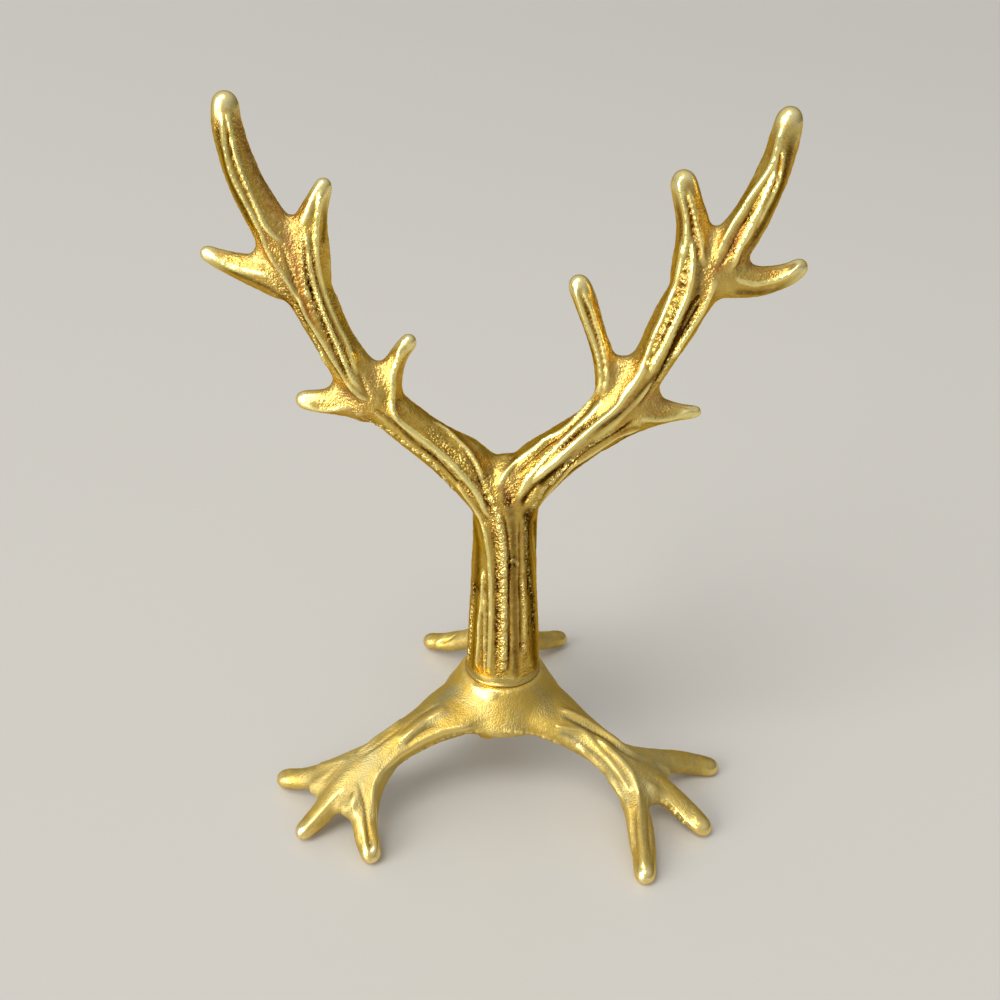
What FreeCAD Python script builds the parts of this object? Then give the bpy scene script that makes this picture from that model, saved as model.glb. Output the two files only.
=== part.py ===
"""Antler ring holder: a forked upright screwed down on a three-legged base.

Millimetres, +Z up. The finished part's origin is the bottom centre of its bounding box.
While it is built, the trunk's axis is x = y = 0 and the table is z = 0.
"""
import FreeCAD
import Part
import math
import os

V = FreeCAD.Vector

# Upright casting: heights count from its seat on the base, reaches from the trunk's axis.
seat_height = 21.3
upright_rise = 97.6
left_reach = 47.0
right_reach = 43.8
trunk_width = 13.3
trunk_depth = 12.6
beam_width = 7.3
beam_depth = 6.8
tine_width = 5.0
tine_depth = 4.6
foot_lip_width = 13.6
foot_lip_height = 0.9
foot_groove_depth = 0.4
foot_groove_height = 0.4

# Base casting: three legs around a hub, each ending in three prongs.
leg_reach = 41.2
leg_width = 8.0
leg_depth = 6.8
prong_width = 5.0
prong_depth = 4.6
hub_thickness = 8.3
hub_flare = 3.7
hub_rim_height = 1.6
flare_share = 0.42
pocket_depth = 3.4
seat_margin = 0.6
ground_flat_depth = 0.55
gate_width = 3.6
gate_length = 1.6
gate_inset = 1.2
gate_offset = 2.4

# Screw and washer, metric 4 mm pan head.
screw_diameter = 4.0
screw_length = 14.0
screw_end_chamfer = 0.5
head_diameter = 8.0
head_height = 2.6
head_edge_height = 0.9
recess_span = 4.2
recess_width = 0.9
recess_depth = 1.7
washer_diameter = 9.0
washer_bore = 4.3
washer_thickness = 0.8
washer_edge_chamfer = 0.15

# Clearances
thread_gap = 0.05
hub_bore_gap = 0.25
pocket_gap = 0.5
hole_end_gap = 2.5
drill_point_share = 0.3
overrun = 20.0

# Flutes along the castings: how many, and their height as a share of the half width.
beam_flute_count = 8
beam_flute_share = 0.055
trunk_flute_count = 12
trunk_flute_share = 0.035
leg_flute_count = 8
leg_flute_share = 0.04
section_point_count = 32
trunk_section_point_count = 48

# The legs stand at these angles about the trunk's axis, in degrees from +X.
left_leg_angle = 212.4
right_leg_angle = 332.4
rear_leg_angle = 92.4

# Trunk: sideways share of the width, height share of the rise, width share, depth share.
trunk_shares = (
    (0.000, 0.013, 0.989, 1.000),
    (0.000, 0.069, 0.947, 0.968),
    (-0.015, 0.130, 0.891, 0.929),
    (-0.019, 0.192, 0.835, 0.889),
    (-0.023, 0.253, 0.812, 0.865),
    (-0.019, 0.315, 0.797, 0.841),
    (-0.023, 0.366, 0.857, 0.810),
    (-0.023, 0.408, 0.690, 0.690),
    (-0.023, 0.427, 0.380, 0.400),
)

# Beams: sideways share of the reach, height share of the rise, width share, depth share.
left_beam_shares = (
    (-0.050, 0.253, 0.58, 1.00),
    (-0.059, 0.320, 0.63, 1.22),
    (-0.128, 0.401, 1.20, 1.38),
    (-0.253, 0.450, 1.03, 1.20),
    (-0.394, 0.507, 0.97, 1.06),
    (-0.502, 0.566, 0.96, 1.00),
    (-0.581, 0.632, 0.86, 0.97),
    (-0.645, 0.694, 0.99, 0.96),
    (-0.706, 0.748, 0.99, 0.92),
    (-0.766, 0.803, 0.82, 0.80),
    (-0.828, 0.862, 0.74, 0.72),
    (-0.864, 0.919, 0.64, 0.64),
    (-0.877, 0.962, 0.59, 0.58),
    (-0.869, 0.997, 0.46, 0.50),
)
right_beam_shares = (
    (0.046, 0.253, 0.58, 1.00),
    (0.047, 0.320, 0.63, 1.22),
    (0.091, 0.394, 1.20, 1.38),
    (0.196, 0.443, 1.15, 1.20),
    (0.322, 0.491, 1.08, 1.06),
    (0.432, 0.549, 0.99, 1.00),
    (0.507, 0.606, 0.86, 0.97),
    (0.568, 0.664, 0.96, 0.96),
    (0.626, 0.720, 1.01, 0.94),
    (0.683, 0.765, 0.99, 0.88),
    (0.751, 0.811, 0.82, 0.80),
    (0.813, 0.865, 0.73, 0.72),
    (0.854, 0.921, 0.63, 0.64),
    (0.868, 0.963, 0.58, 0.58),
    (0.875, 0.993, 0.46, 0.50),
)

# Tines: sideways share of the reach, height share of the rise, share of the tine's width.
left_tine_shares = (
    (
        (-0.426, 0.515, 1.20),
        (-0.494, 0.517, 1.48),
        (-0.553, 0.518, 1.08),
        (-0.621, 0.518, 0.82),
        (-0.681, 0.519, 0.68),
        (-0.728, 0.523, 0.54),
    ),
    (
        (-0.436, 0.525, 1.20),
        (-0.421, 0.550, 1.24),
        (-0.396, 0.577, 0.78),
        (-0.366, 0.606, 0.60),
        (-0.334, 0.625, 0.56),
        (-0.314, 0.633, 0.48),
    ),
    (
        (-0.677, 0.716, 1.20),
        (-0.753, 0.726, 1.48),
        (-0.817, 0.730, 1.08),
        (-0.877, 0.739, 0.88),
        (-0.938, 0.750, 0.62),
        (-0.998, 0.764, 0.46),
    ),
    (
        (-0.664, 0.714, 1.20),
        (-0.657, 0.760, 1.28),
        (-0.647, 0.800, 1.10),
        (-0.621, 0.833, 0.78),
        (-0.598, 0.858, 0.60),
        (-0.580, 0.877, 0.46),
    ),
)
right_tine_shares = (
    (
        (0.379, 0.519, 1.20),
        (0.362, 0.554, 1.20),
        (0.340, 0.591, 0.84),
        (0.309, 0.634, 0.66),
        (0.276, 0.674, 0.66),
        (0.248, 0.708, 0.68),
        (0.217, 0.735, 0.54),
    ),
    (
        (0.388, 0.520, 1.20),
        (0.464, 0.512, 1.52),
        (0.534, 0.513, 1.22),
        (0.598, 0.517, 0.88),
        (0.653, 0.519, 0.66),
        (0.704, 0.526, 0.48),
    ),
    (
        (0.626, 0.704, 1.20),
        (0.614, 0.745, 1.32),
        (0.610, 0.784, 1.16),
        (0.600, 0.820, 1.00),
        (0.575, 0.855, 0.86),
        (0.555, 0.882, 0.80),
        (0.534, 0.900, 0.62),
    ),
    (
        (0.644, 0.731, 1.20),
        (0.721, 0.739, 1.40),
        (0.797, 0.735, 1.12),
        (0.868, 0.738, 0.86),
        (0.943, 0.748, 0.70),
        (1.000, 0.768, 0.52),
    ),
)

# Legs: share of the reach, and height as a share of the way from prong tip to hub middle.
left_leg_profile_shares = (
    (0.07, 0.95),
    (0.27, 0.87),
    (0.39, 0.79),
    (0.52, 0.70),
    (0.61, 0.60),
    (0.70, 0.44),
    (0.76, 0.33),
    (0.85, 0.14),
    (0.92, 0.03),
    (1.00, 0.00),
)
right_leg_profile_shares = (
    (0.07, 0.95),
    (0.29, 0.79),
    (0.41, 0.67),
    (0.53, 0.55),
    (0.63, 0.41),
    (0.70, 0.28),
    (0.82, 0.15),
    (0.92, 0.04),
    (1.00, 0.00),
)

# A leg's width and depth, as shares, at shares of its length from the hub to the fork.
leg_width_shares = (
    (0.00, 1.62),
    (0.20, 1.62),
    (0.31, 1.48),
    (0.42, 1.18),
    (0.52, 0.98),
    (0.62, 0.91),
    (0.72, 0.90),
    (0.84, 0.98),
    (1.00, 0.86),
)
leg_depth_shares = ((0.0, 0.95), (0.3, 0.94), (0.6, 0.88), (0.8, 0.80), (1.0, 0.68))
leg_start_share = 0.07
leg_end_share = 0.785
leg_station_shares = (0.0, 0.10, 0.20, 0.31, 0.42, 0.54, 0.64, 0.76, 0.88, 1.0)

# Prongs: shares of the reach along the leg and across it, from inside the fork to the tip.
left_prong_shares = (
    ((0.58, -0.010), (0.73, -0.100), (0.838, -0.212), (0.945, -0.338)),
    ((0.58, 0.000), (0.73, 0.000), (0.88, 0.014), (1.010, 0.034)),
    ((0.54, 0.010), (0.66, 0.070), (0.757, 0.182), (0.792, 0.325)),
)
right_prong_shares = (
    ((0.53, 0.000), (0.65, -0.078), (0.775, -0.220), (0.876, -0.402)),
    ((0.58, 0.000), (0.73, 0.012), (0.88, 0.012), (1.014, -0.006)),
    ((0.53, 0.010), (0.65, 0.155), (0.775, 0.325), (0.905, 0.415)),
)
rear_prong_shares = (
    ((0.55, 0.000), (0.69, -0.085), (0.80, -0.215), (0.905, -0.370)),
    ((0.58, 0.000), (0.73, 0.000), (0.88, 0.000), (1.020, 0.000)),
    ((0.55, 0.000), (0.69, 0.085), (0.79, 0.220), (0.875, 0.382)),
)
prong_height_share = 0.56
prong_width_shares = ((0.0, 0.92), (0.5, 0.98), (0.8, 0.86), (1.0, 0.74))

tip_ring_degrees = (35.0, 60.0, 78.0)
body_station_count = 12
prong_station_count = 8


def between(table, share):
    """The value of a table of (share, value) rows at a share, in straight steps."""
    for (low, first), (high, second) in zip(table, table[1:]):
        if share <= high:
            part_share = max(share - low, 0.0) / (high - low)
            return first + (second - first) * part_share
    return table[-1][1]


def section(centre, side, other, width, depth, flutes, flute_share, points):
    """A closed fluted oval around a point of a limb's centre line."""
    rim = []
    for i in range(points):
        turn = 2 * math.pi * i / points
        swell = (1 + flute_share * math.cos(flutes * turn)) / 2
        across = side * (width * swell * math.cos(turn))
        rim.append(centre + across + other * (depth * swell * math.sin(turn)))
    steps = [i / points for i in range(points + 1)]
    curve = Part.BSplineCurve()
    curve.interpolate(Points=rim, PeriodicFlag=True, Parameters=steps)
    return Part.Wire([curve.toShape()])


def limb(route, widths, depths, face, flutes, flute_share, points, stations):
    """A round-ended limb along a route; widths and depths are given at the route's points."""
    curve = Part.BSplineCurve()
    curve.interpolate(Points=route)
    line = curve.toShape()
    length = line.Length
    marks = [curve.length(curve.FirstParameter, curve.parameter(p)) for p in route[1:]]
    marks = [share / length for share in [0.0] + marks]
    width_table = tuple(zip(marks, widths))
    depth_table = tuple(zip(marks, depths))
    tip_radius = widths[-1] / 2
    body = length - tip_radius
    rings = [(body * i / stations, 1.0) for i in range(stations + 1)]
    for angle in tip_ring_degrees:
        turn = math.radians(angle)
        rings.append((body + tip_radius * math.sin(turn), math.cos(turn)))
    wires = []
    for distance, scale in rings:
        at = line.getParameterByLength(distance)
        ahead = line.tangentAt(at)
        side = ahead.cross(face).normalize()
        other = side.cross(ahead).normalize()
        share = distance / length
        width = between(width_table, share) * scale
        depth = between(depth_table, share) * scale
        spot = line.valueAt(at)
        wires.append(section(spot, side, other, width, depth, flutes, flute_share, points))
    return Part.makeLoft(wires, True, False, False, 3)


def trunk():
    """The fluted trunk from above the foot's groove to the fork."""
    wires = []
    for across, up, wide, deep in trunk_shares:
        spot = V(across * trunk_width, 0, seat_height + up * upright_rise)
        size = (trunk_width * wide, trunk_depth * deep)
        wires.append(
            section(
                spot, V(1, 0, 0), V(0, 1, 0), *size,
                trunk_flute_count, trunk_flute_share, trunk_section_point_count,
            )
        )
    return Part.makeLoft(wires, True, False, False, 3)


def beam(shares, reach):
    """One of the two main limbs, from inside the trunk to its tip."""
    route = [V(x * reach, 0, seat_height + z * upright_rise) for x, z, w, d in shares]
    widths = [w * beam_width for x, z, w, d in shares]
    depths = [d * beam_depth for x, z, w, d in shares]
    stations = 2 * body_station_count
    return limb(
        route, widths, depths, V(0, 1, 0),
        beam_flute_count, beam_flute_share, section_point_count, stations,
    )


def tine(shares, reach):
    """A short side branch that starts on its beam's centre line."""
    route = [V(x * reach, 0, seat_height + z * upright_rise) for x, z, w in shares]
    widths = [w * tine_width for x, z, w in shares]
    depths = [w * tine_depth for x, z, w in shares]
    return limb(
        route, widths, depths, V(0, 1, 0),
        beam_flute_count, beam_flute_share, section_point_count, body_station_count,
    )


def foot():
    """The plain lip that stands on the base, with the groove above it."""
    groove_top = foot_lip_height + foot_groove_height
    trunk_start = trunk_shares[0][1] * upright_rise
    lip = Part.makeCylinder(foot_lip_width / 2, foot_lip_height, V(0, 0, seat_height))
    neck_radius = min(trunk_width, foot_lip_width) / 2 - foot_groove_depth
    neck_height = max(groove_top, trunk_start)
    neck = Part.makeCylinder(neck_radius, neck_height, V(0, 0, seat_height))
    return lip.fuse(neck)


def tapped_hole():
    """The blind hole for the screw, in the trunk's foot, with its drill point."""
    radius = screw_diameter / 2 + thread_gap
    engaged = screw_length - washer_thickness - (hub_thickness - pocket_depth)
    depth = engaged + hole_end_gap
    point = drill_point_share * screw_diameter
    hole = Part.makeCylinder(radius, depth, V(0, 0, seat_height))
    end = Part.makeCone(radius, 0, point, V(0, 0, seat_height + depth))
    below = Part.makeCylinder(radius, overrun, V(0, 0, seat_height - overrun))
    return hole.fuse(end).fuse(below)


def antler_upright():
    """The forked casting."""
    solid = trunk().fuse(foot())
    for shares, reach, tines in (
        (left_beam_shares, left_reach, left_tine_shares),
        (right_beam_shares, right_reach, right_tine_shares),
    ):
        solid = solid.fuse(beam(shares, reach))
        for tine_shares in tines:
            solid = solid.fuse(tine(tine_shares, reach))
    return solid.cut(tapped_hole())


def hub_radius():
    """The radius of the seat on the hub, from the foot that stands on it."""
    return foot_lip_width / 2 + seat_margin


def hub():
    """The flared middle of the base."""
    top = seat_height
    under = seat_height - hub_thickness
    inner = hub_radius()
    outer = inner + hub_flare
    rim = under + hub_rim_height
    middle = V(inner + flare_share * hub_flare, 0, (top + rim) / 2)
    flare = Part.Arc(V(outer, 0, rim), middle, V(inner, 0, top)).toShape()
    edge = Part.Arc(
        V(outer - hub_rim_height, 0, under),
        V(outer - hub_rim_height / 4, 0, under + hub_rim_height / 4),
        V(outer, 0, rim),
    ).toShape()
    floor = Part.makeLine(V(0, 0, under), V(outer - hub_rim_height, 0, under))
    lid = Part.makeLine(V(inner, 0, top), V(0, 0, top))
    axis = Part.makeLine(V(0, 0, top), V(0, 0, under))
    profile = Part.Face(Part.Wire([floor, edge, flare, lid, axis]))
    return profile.revolve(V(0, 0, 0), V(0, 0, 1), 360)


def turned(turn, forward, across, height):
    """A point given along a leg, across it and above the table."""
    angle = math.radians(turn)
    ahead = V(math.cos(angle), math.sin(angle), 0)
    aside = V(-math.sin(angle), math.cos(angle), 0)
    return ahead * forward + aside * across + V(0, 0, height)


def leg_height(profile, share):
    """The height of a leg's centre line at a share of its reach."""
    low = prong_depth * prong_width_shares[-1][1] / 2 - ground_flat_depth
    high = seat_height - hub_thickness / 2
    return low + (high - low) * between(profile, share)


def leg(turn, profile):
    """The arched arm from the hub to the fork of its prongs."""
    route, widths, depths = [], [], []
    for step in leg_station_shares:
        share = leg_start_share + (leg_end_share - leg_start_share) * step
        route.append(turned(turn, share * leg_reach, 0, leg_height(profile, share)))
        widths.append(leg_width * between(leg_width_shares, step))
        depths.append(leg_depth * between(leg_depth_shares, step))
    return limb(
        route, widths, depths, V(0, 0, 1),
        leg_flute_count, leg_flute_share, section_point_count, body_station_count,
    )


def prong(turn, profile, shares):
    """One toe of a leg, from inside the fork to its tip on the table."""
    route, widths, depths = [], [], []
    for step, (forward, across) in enumerate(shares):
        along = step / (len(shares) - 1)
        height = leg_height(profile, prong_height_share + (1 - prong_height_share) * along)
        route.append(turned(turn, forward * leg_reach, across * leg_reach, height))
        widths.append(prong_width * between(prong_width_shares, along))
        depths.append(prong_depth * between(prong_width_shares, along))
    return limb(
        route, widths, depths, V(0, 0, 1),
        leg_flute_count, leg_flute_share, section_point_count, prong_station_count,
    )


def pocket_ceiling():
    """The height of the flat that the washer bears on, inside the hub's pocket."""
    return seat_height - hub_thickness + pocket_depth


def gate_stub():
    """The stub left under the front of the hub where the metal was poured."""
    radius = gate_width / 2
    height = gate_length + hub_rim_height
    top = seat_height - hub_thickness + hub_rim_height
    back = hub_radius() + hub_flare - gate_inset - radius
    return Part.makeCylinder(radius, height, V(-gate_offset, -back, top - height))


def base_cuts():
    """What the base loses: screw hole, head pocket, room above the seat, ground flats."""
    bore_radius = screw_diameter / 2 + hub_bore_gap
    pocket_radius = washer_diameter / 2 + pocket_gap
    room_height = foot_lip_height + overrun
    reach = 2 * leg_reach
    return (
        Part.makeCylinder(bore_radius, seat_height + 2 * overrun, V(0, 0, -overrun)),
        Part.makeCylinder(pocket_radius, pocket_ceiling() + overrun, V(0, 0, -overrun)),
        Part.makeCylinder(hub_radius(), room_height, V(0, 0, seat_height)),
        Part.makeCylinder(reach, overrun, V(0, 0, -overrun)),
    )


def tripod_base():
    """The three-legged casting."""
    solid = hub()
    for turn, profile, prongs in (
        (left_leg_angle, left_leg_profile_shares, left_prong_shares),
        (right_leg_angle, right_leg_profile_shares, right_prong_shares),
        (rear_leg_angle, left_leg_profile_shares, rear_prong_shares),
    ):
        solid = solid.fuse(leg(turn, profile))
        for shares in prongs:
            solid = solid.fuse(prong(turn, profile, shares))
    solid = solid.fuse(gate_stub())
    for cutter in base_cuts():
        solid = solid.cut(cutter)
    return solid


def base_screw():
    """The pan-head screw, put in from below, with a cross recess in its head."""
    seat = pocket_ceiling() - washer_thickness
    radius = screw_diameter / 2
    straight = screw_length - screw_end_chamfer
    shank = Part.makeCylinder(radius, straight, V(0, 0, seat))
    end = Part.makeCone(radius, radius - screw_end_chamfer, screw_end_chamfer,
                        V(0, 0, seat + straight))
    edge = seat - head_edge_height
    crown = seat - head_height
    side = Part.makeLine(V(head_diameter / 2, 0, seat), V(head_diameter / 2, 0, edge))
    bend = (head_height - head_edge_height) / 4
    dome = Part.Arc(
        V(head_diameter / 2, 0, edge), V(head_diameter / 3, 0, crown + bend), V(0, 0, crown)
    ).toShape()
    top = Part.makeLine(V(0, 0, seat), V(head_diameter / 2, 0, seat))
    axis = Part.makeLine(V(0, 0, crown), V(0, 0, seat))
    head = Part.Face(Part.Wire([top, side, dome, axis])).revolve(V(0, 0, 0), V(0, 0, 1), 360)
    screw = head.fuse(shank).fuse(end)
    half = recess_width / 2
    deep = recess_depth + overrun
    for length, width in ((recess_span, recess_width), (recess_width, recess_span)):
        corner = V(-length / 2, -width / 2, crown - overrun)
        screw = screw.cut(Part.makeBox(length, width, deep, corner))
    return screw.cut(Part.makeCone(half, 2 * half, recess_depth, V(0, 0, crown)))


def washer():
    """The flat washer between the screw's head and the hub."""
    bottom = pocket_ceiling() - washer_thickness
    radius = washer_diameter / 2
    ring = Part.makeCylinder(radius, washer_thickness, V(0, 0, bottom))
    rim = [edge for edge in ring.Edges if edge.Length > radius]
    low = [edge for edge in rim if edge.CenterOfMass.z < bottom + washer_thickness / 2]
    low = [edge for edge in low if abs(edge.CenterOfMass.x) < radius / 2]
    ring = ring.makeChamfer(washer_edge_chamfer, low)
    return ring.cut(Part.makeCylinder(washer_bore / 2, overrun, V(0, 0, bottom)))


def main():
    """Build every piece, move the origin to the bottom centre and write the files."""
    os.makedirs("parts", exist_ok=True)
    pieces = {
        "antler_upright": antler_upright(),
        "tripod_base": tripod_base(),
        "base_screw": base_screw(),
        "washer": washer(),
    }
    boxes = [shape.optimalBoundingBox(True, False) for shape in pieces.values()]
    left, right = min(b.XMin for b in boxes), max(b.XMax for b in boxes)
    front, back = min(b.YMin for b in boxes), max(b.YMax for b in boxes)
    shift = V(-(left + right) / 2, -(front + back) / 2, -min(b.ZMin for b in boxes))
    for name, shape in pieces.items():
        shape.translate(shift)
        print(name, len(shape.Solids), shape.isValid(), round(shape.Volume, 1))
        shape.exportStep("parts/" + name + ".step")
    print("size", right - left, back - front, max(b.ZMax for b in boxes), "shift", shift)


main()
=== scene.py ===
"""The antler ring holder, dressed for its photograph.

The tables are in millimetres from the trunk's axis on the table, and the finished meshes are in
metres. The castings' lines are traced in pixels of the 1000 by 1000 photograph and thrown onto the
castings from the place that it was taken from.
"""

import logging
import math
from dataclasses import dataclass, field
from enum import Enum

import bpy
import numpy as np
from mathutils import Matrix, Vector
from mathutils import noise
from mathutils.bvhtree import BVHTree


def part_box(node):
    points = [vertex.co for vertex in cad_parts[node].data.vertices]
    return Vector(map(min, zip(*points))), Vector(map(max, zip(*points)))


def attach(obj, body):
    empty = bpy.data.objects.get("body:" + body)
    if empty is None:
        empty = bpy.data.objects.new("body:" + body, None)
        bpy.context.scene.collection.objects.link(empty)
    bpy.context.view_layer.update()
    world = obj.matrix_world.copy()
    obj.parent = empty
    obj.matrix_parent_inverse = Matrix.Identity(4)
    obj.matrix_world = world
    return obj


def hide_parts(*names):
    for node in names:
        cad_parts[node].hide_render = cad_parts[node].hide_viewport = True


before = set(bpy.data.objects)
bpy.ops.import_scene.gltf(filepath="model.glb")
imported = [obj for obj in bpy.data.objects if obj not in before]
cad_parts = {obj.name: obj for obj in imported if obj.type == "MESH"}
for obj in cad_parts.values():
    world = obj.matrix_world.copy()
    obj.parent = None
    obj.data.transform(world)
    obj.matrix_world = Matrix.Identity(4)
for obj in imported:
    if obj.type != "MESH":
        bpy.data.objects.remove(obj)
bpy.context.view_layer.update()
MM = 0.001
BODY = "root"
PHOTO_SIDE = 1000
SHARPEST_SMOOTH = math.radians(40)
COARSENESS = 1.4  # the size of the faces while corners are filled, against the finished ones
SHRINK_BACK = 0.96  # how much of the swelling that fills the corners is taken back
Colour = tuple[float, float, float]
Pair = tuple[float, float]
Rows = tuple[tuple[float, ...], ...]
Course = list[tuple[Vector, Vector]]

log = logging.getLogger("ring_holder")


def midway(rows: Rows, columns: int) -> list[tuple[float, ...]]:
    """The given rows and those half-way between them.

    Args:
        rows: Rows of places and sizes.
        columns: How many of their first columns are wanted.

    Returns:
        The rows, cut to those columns.
    """
    table = np.array(rows)[:, :columns]
    return [tuple(row) for row in np.vstack([table, (table[1:] + table[:-1]) / 2])]


def trunk_foot() -> Vector:
    """The point of the table under the trunk's axis, in metres."""
    low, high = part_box("washer")
    return Vector(((low.x + high.x) / 2, (low.y + high.y) / 2, 0.0))


FOOT = trunk_foot()


def spot(x: float, y: float, z: float) -> Vector:
    """A point given in millimetres from the trunk's foot, in metres of the row frame."""
    return FOOT + Vector((x, y, z)) * MM


def only(piece: bpy.types.Object) -> None:
    """Select one piece and nothing else, and make it the active one.

    Args:
        piece: The piece.
    """
    bpy.ops.object.select_all(action="DESELECT")
    piece.select_set(True)
    bpy.context.view_layer.objects.active = piece


def blank(name: str) -> bpy.types.Object:
    """Add an empty mesh object, selected and in edit mode.

    Args:
        name: The name of the new piece.

    Returns:
        The new object.
    """
    piece = bpy.data.objects.new(name, bpy.data.meshes.new(name))
    bpy.context.scene.collection.objects.link(piece)
    only(piece)
    bpy.ops.object.mode_set(mode="EDIT")
    return piece


def close_rings() -> None:
    """Bridge the rings of the piece in edit mode, close both ends and leave edit mode."""
    bpy.ops.mesh.select_all(action="SELECT")
    bpy.ops.mesh.bridge_edge_loops()
    bpy.ops.mesh.select_all(action="DESELECT")
    bpy.ops.mesh.select_non_manifold()
    bpy.ops.mesh.fill_holes(sides=0)
    bpy.ops.mesh.select_all(action="SELECT")
    bpy.ops.mesh.normals_make_consistent(inside=False)
    bpy.ops.object.mode_set(mode="OBJECT")


def finish_with(piece: bpy.types.Object, kind: str, **settings: object) -> None:
    """Add a modifier, set it and apply it.

    Args:
        piece: The piece to work on.
        kind: The modifier's type.
        settings: Its properties by name.
    """
    only(piece)
    modifier = piece.modifiers.new(kind.lower(), kind)
    for key, value in settings.items():
        setattr(modifier, key, value)
    bpy.ops.object.modifier_apply(modifier=modifier.name)


def smooth_line(rows: Rows, steps: int) -> np.ndarray:
    """A smooth run of rows through the given rows.

    Args:
        rows: Places and sizes along a line.
        steps: How many rows to make for each one given.

    Returns:
        The rows of a Catmull-Rom curve through them.
    """
    table = np.array(rows, float)
    table = np.vstack([2 * table[0] - table[1], table, 2 * table[-1] - table[-2]])
    made = []
    for i in range(1, len(table) - 2):
        before, start, end, after = table[i - 1 : i + 3]
        for share in np.arange(steps) / steps:
            bend = 2 * before - 5 * start + 4 * end - after
            twist = 3 * start - before - 3 * end + after
            made.append(start + 0.5 * share * (end - before + share * (bend + share * twist)))
    made.append(table[-2])
    return np.array(made)


@dataclass(frozen=True)
class Limb:
    """A branch of a casting: rings along a line, with a rounded end.

    Attributes:
        rows: Rows of x, y, z, width and depth, in millimetres from the trunk's foot.
        face: The direction that depths are measured in, as far as the line allows.
        sides: How many corners a ring has.
        steps: How many rings stand for each row.
        gap: The least space between the last plain ring and the rounded end, in millimetres.
        look: How far to each side the line's direction is read, in millimetres.
        cap: Where the rings of the rounded end lie on its quarter circle, in degrees.
    """

    rows: Rows
    face: tuple[float, float, float]
    sides: int = 20
    steps: int = 3
    gap: float = 0.1
    look: float = 0.3
    cap: tuple[int, ...] = (0, 25, 45, 62, 77)

    def _rings(self) -> list[tuple[Vector, Vector, float, float]]:
        """The rings' centres, directions, widths and depths, with those of the rounded end."""
        table = smooth_line(self.rows, self.steps)
        strides = np.linalg.norm(np.diff(table[:, :3], axis=0), axis=1)
        along = np.concatenate([[0.0], np.cumsum(strides)])

        def row_at(distance: float) -> np.ndarray:
            """The row at a distance along the line."""
            return np.array([np.interp(distance, along, column) for column in table.T])

        tip = table[-1, 3] / 2
        body = along[-1] - tip
        marks = [(distance, 1.0) for distance in along[along < body - self.gap]]
        for turn in map(math.radians, self.cap):
            marks.append((body + tip * math.sin(turn), math.cos(turn)))
        rings = []
        for distance, scale in marks:
            x, y, z, width, depth = row_at(distance)
            ahead = row_at(distance + self.look)[:3] - row_at(distance - self.look)[:3]
            rings.append((spot(x, y, z), Vector(ahead).normalized(), width * scale, depth * scale))
        return rings

    def build(self, name: str) -> bpy.types.Object:
        """Make the branch.

        Args:
            name: The new object's name.

        Returns:
            A closed mesh object.
        """
        piece = blank(name)
        for centre, ahead, width, depth in self._rings():
            side = ahead.cross(Vector(self.face)).normalized()
            axes = (side, ahead.cross(side).normalized(), ahead)
            turn = Matrix(axes).transposed().to_euler()
            bpy.ops.mesh.primitive_circle_add(
                vertices=self.sides, radius=width / 2 * MM, location=centre, rotation=turn
            )
            bpy.ops.transform.resize(
                value=(1, depth / width, 1),
                orient_type="GLOBAL",
                orient_matrix=[list(axis) for axis in axes],
                orient_matrix_type="GLOBAL",
                center_override=centre,
            )
        close_rings()
        return piece


@dataclass(frozen=True)
class Turning:
    """A round form about an upright axis: rows of height and radius, in millimetres."""

    rows: Rows
    centre: tuple[float, float] = (0.0, 0.0)
    sides: int = 96

    def build(self, name: str) -> bpy.types.Object:
        """Make the round form.

        Args:
            name: The new object's name.

        Returns:
            A closed mesh object.
        """
        piece = blank(name)
        for height, radius in self.rows:
            bpy.ops.mesh.primitive_circle_add(
                vertices=self.sides, radius=radius * MM, location=spot(*self.centre, height)
            )
        close_rings()
        return piece


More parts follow.
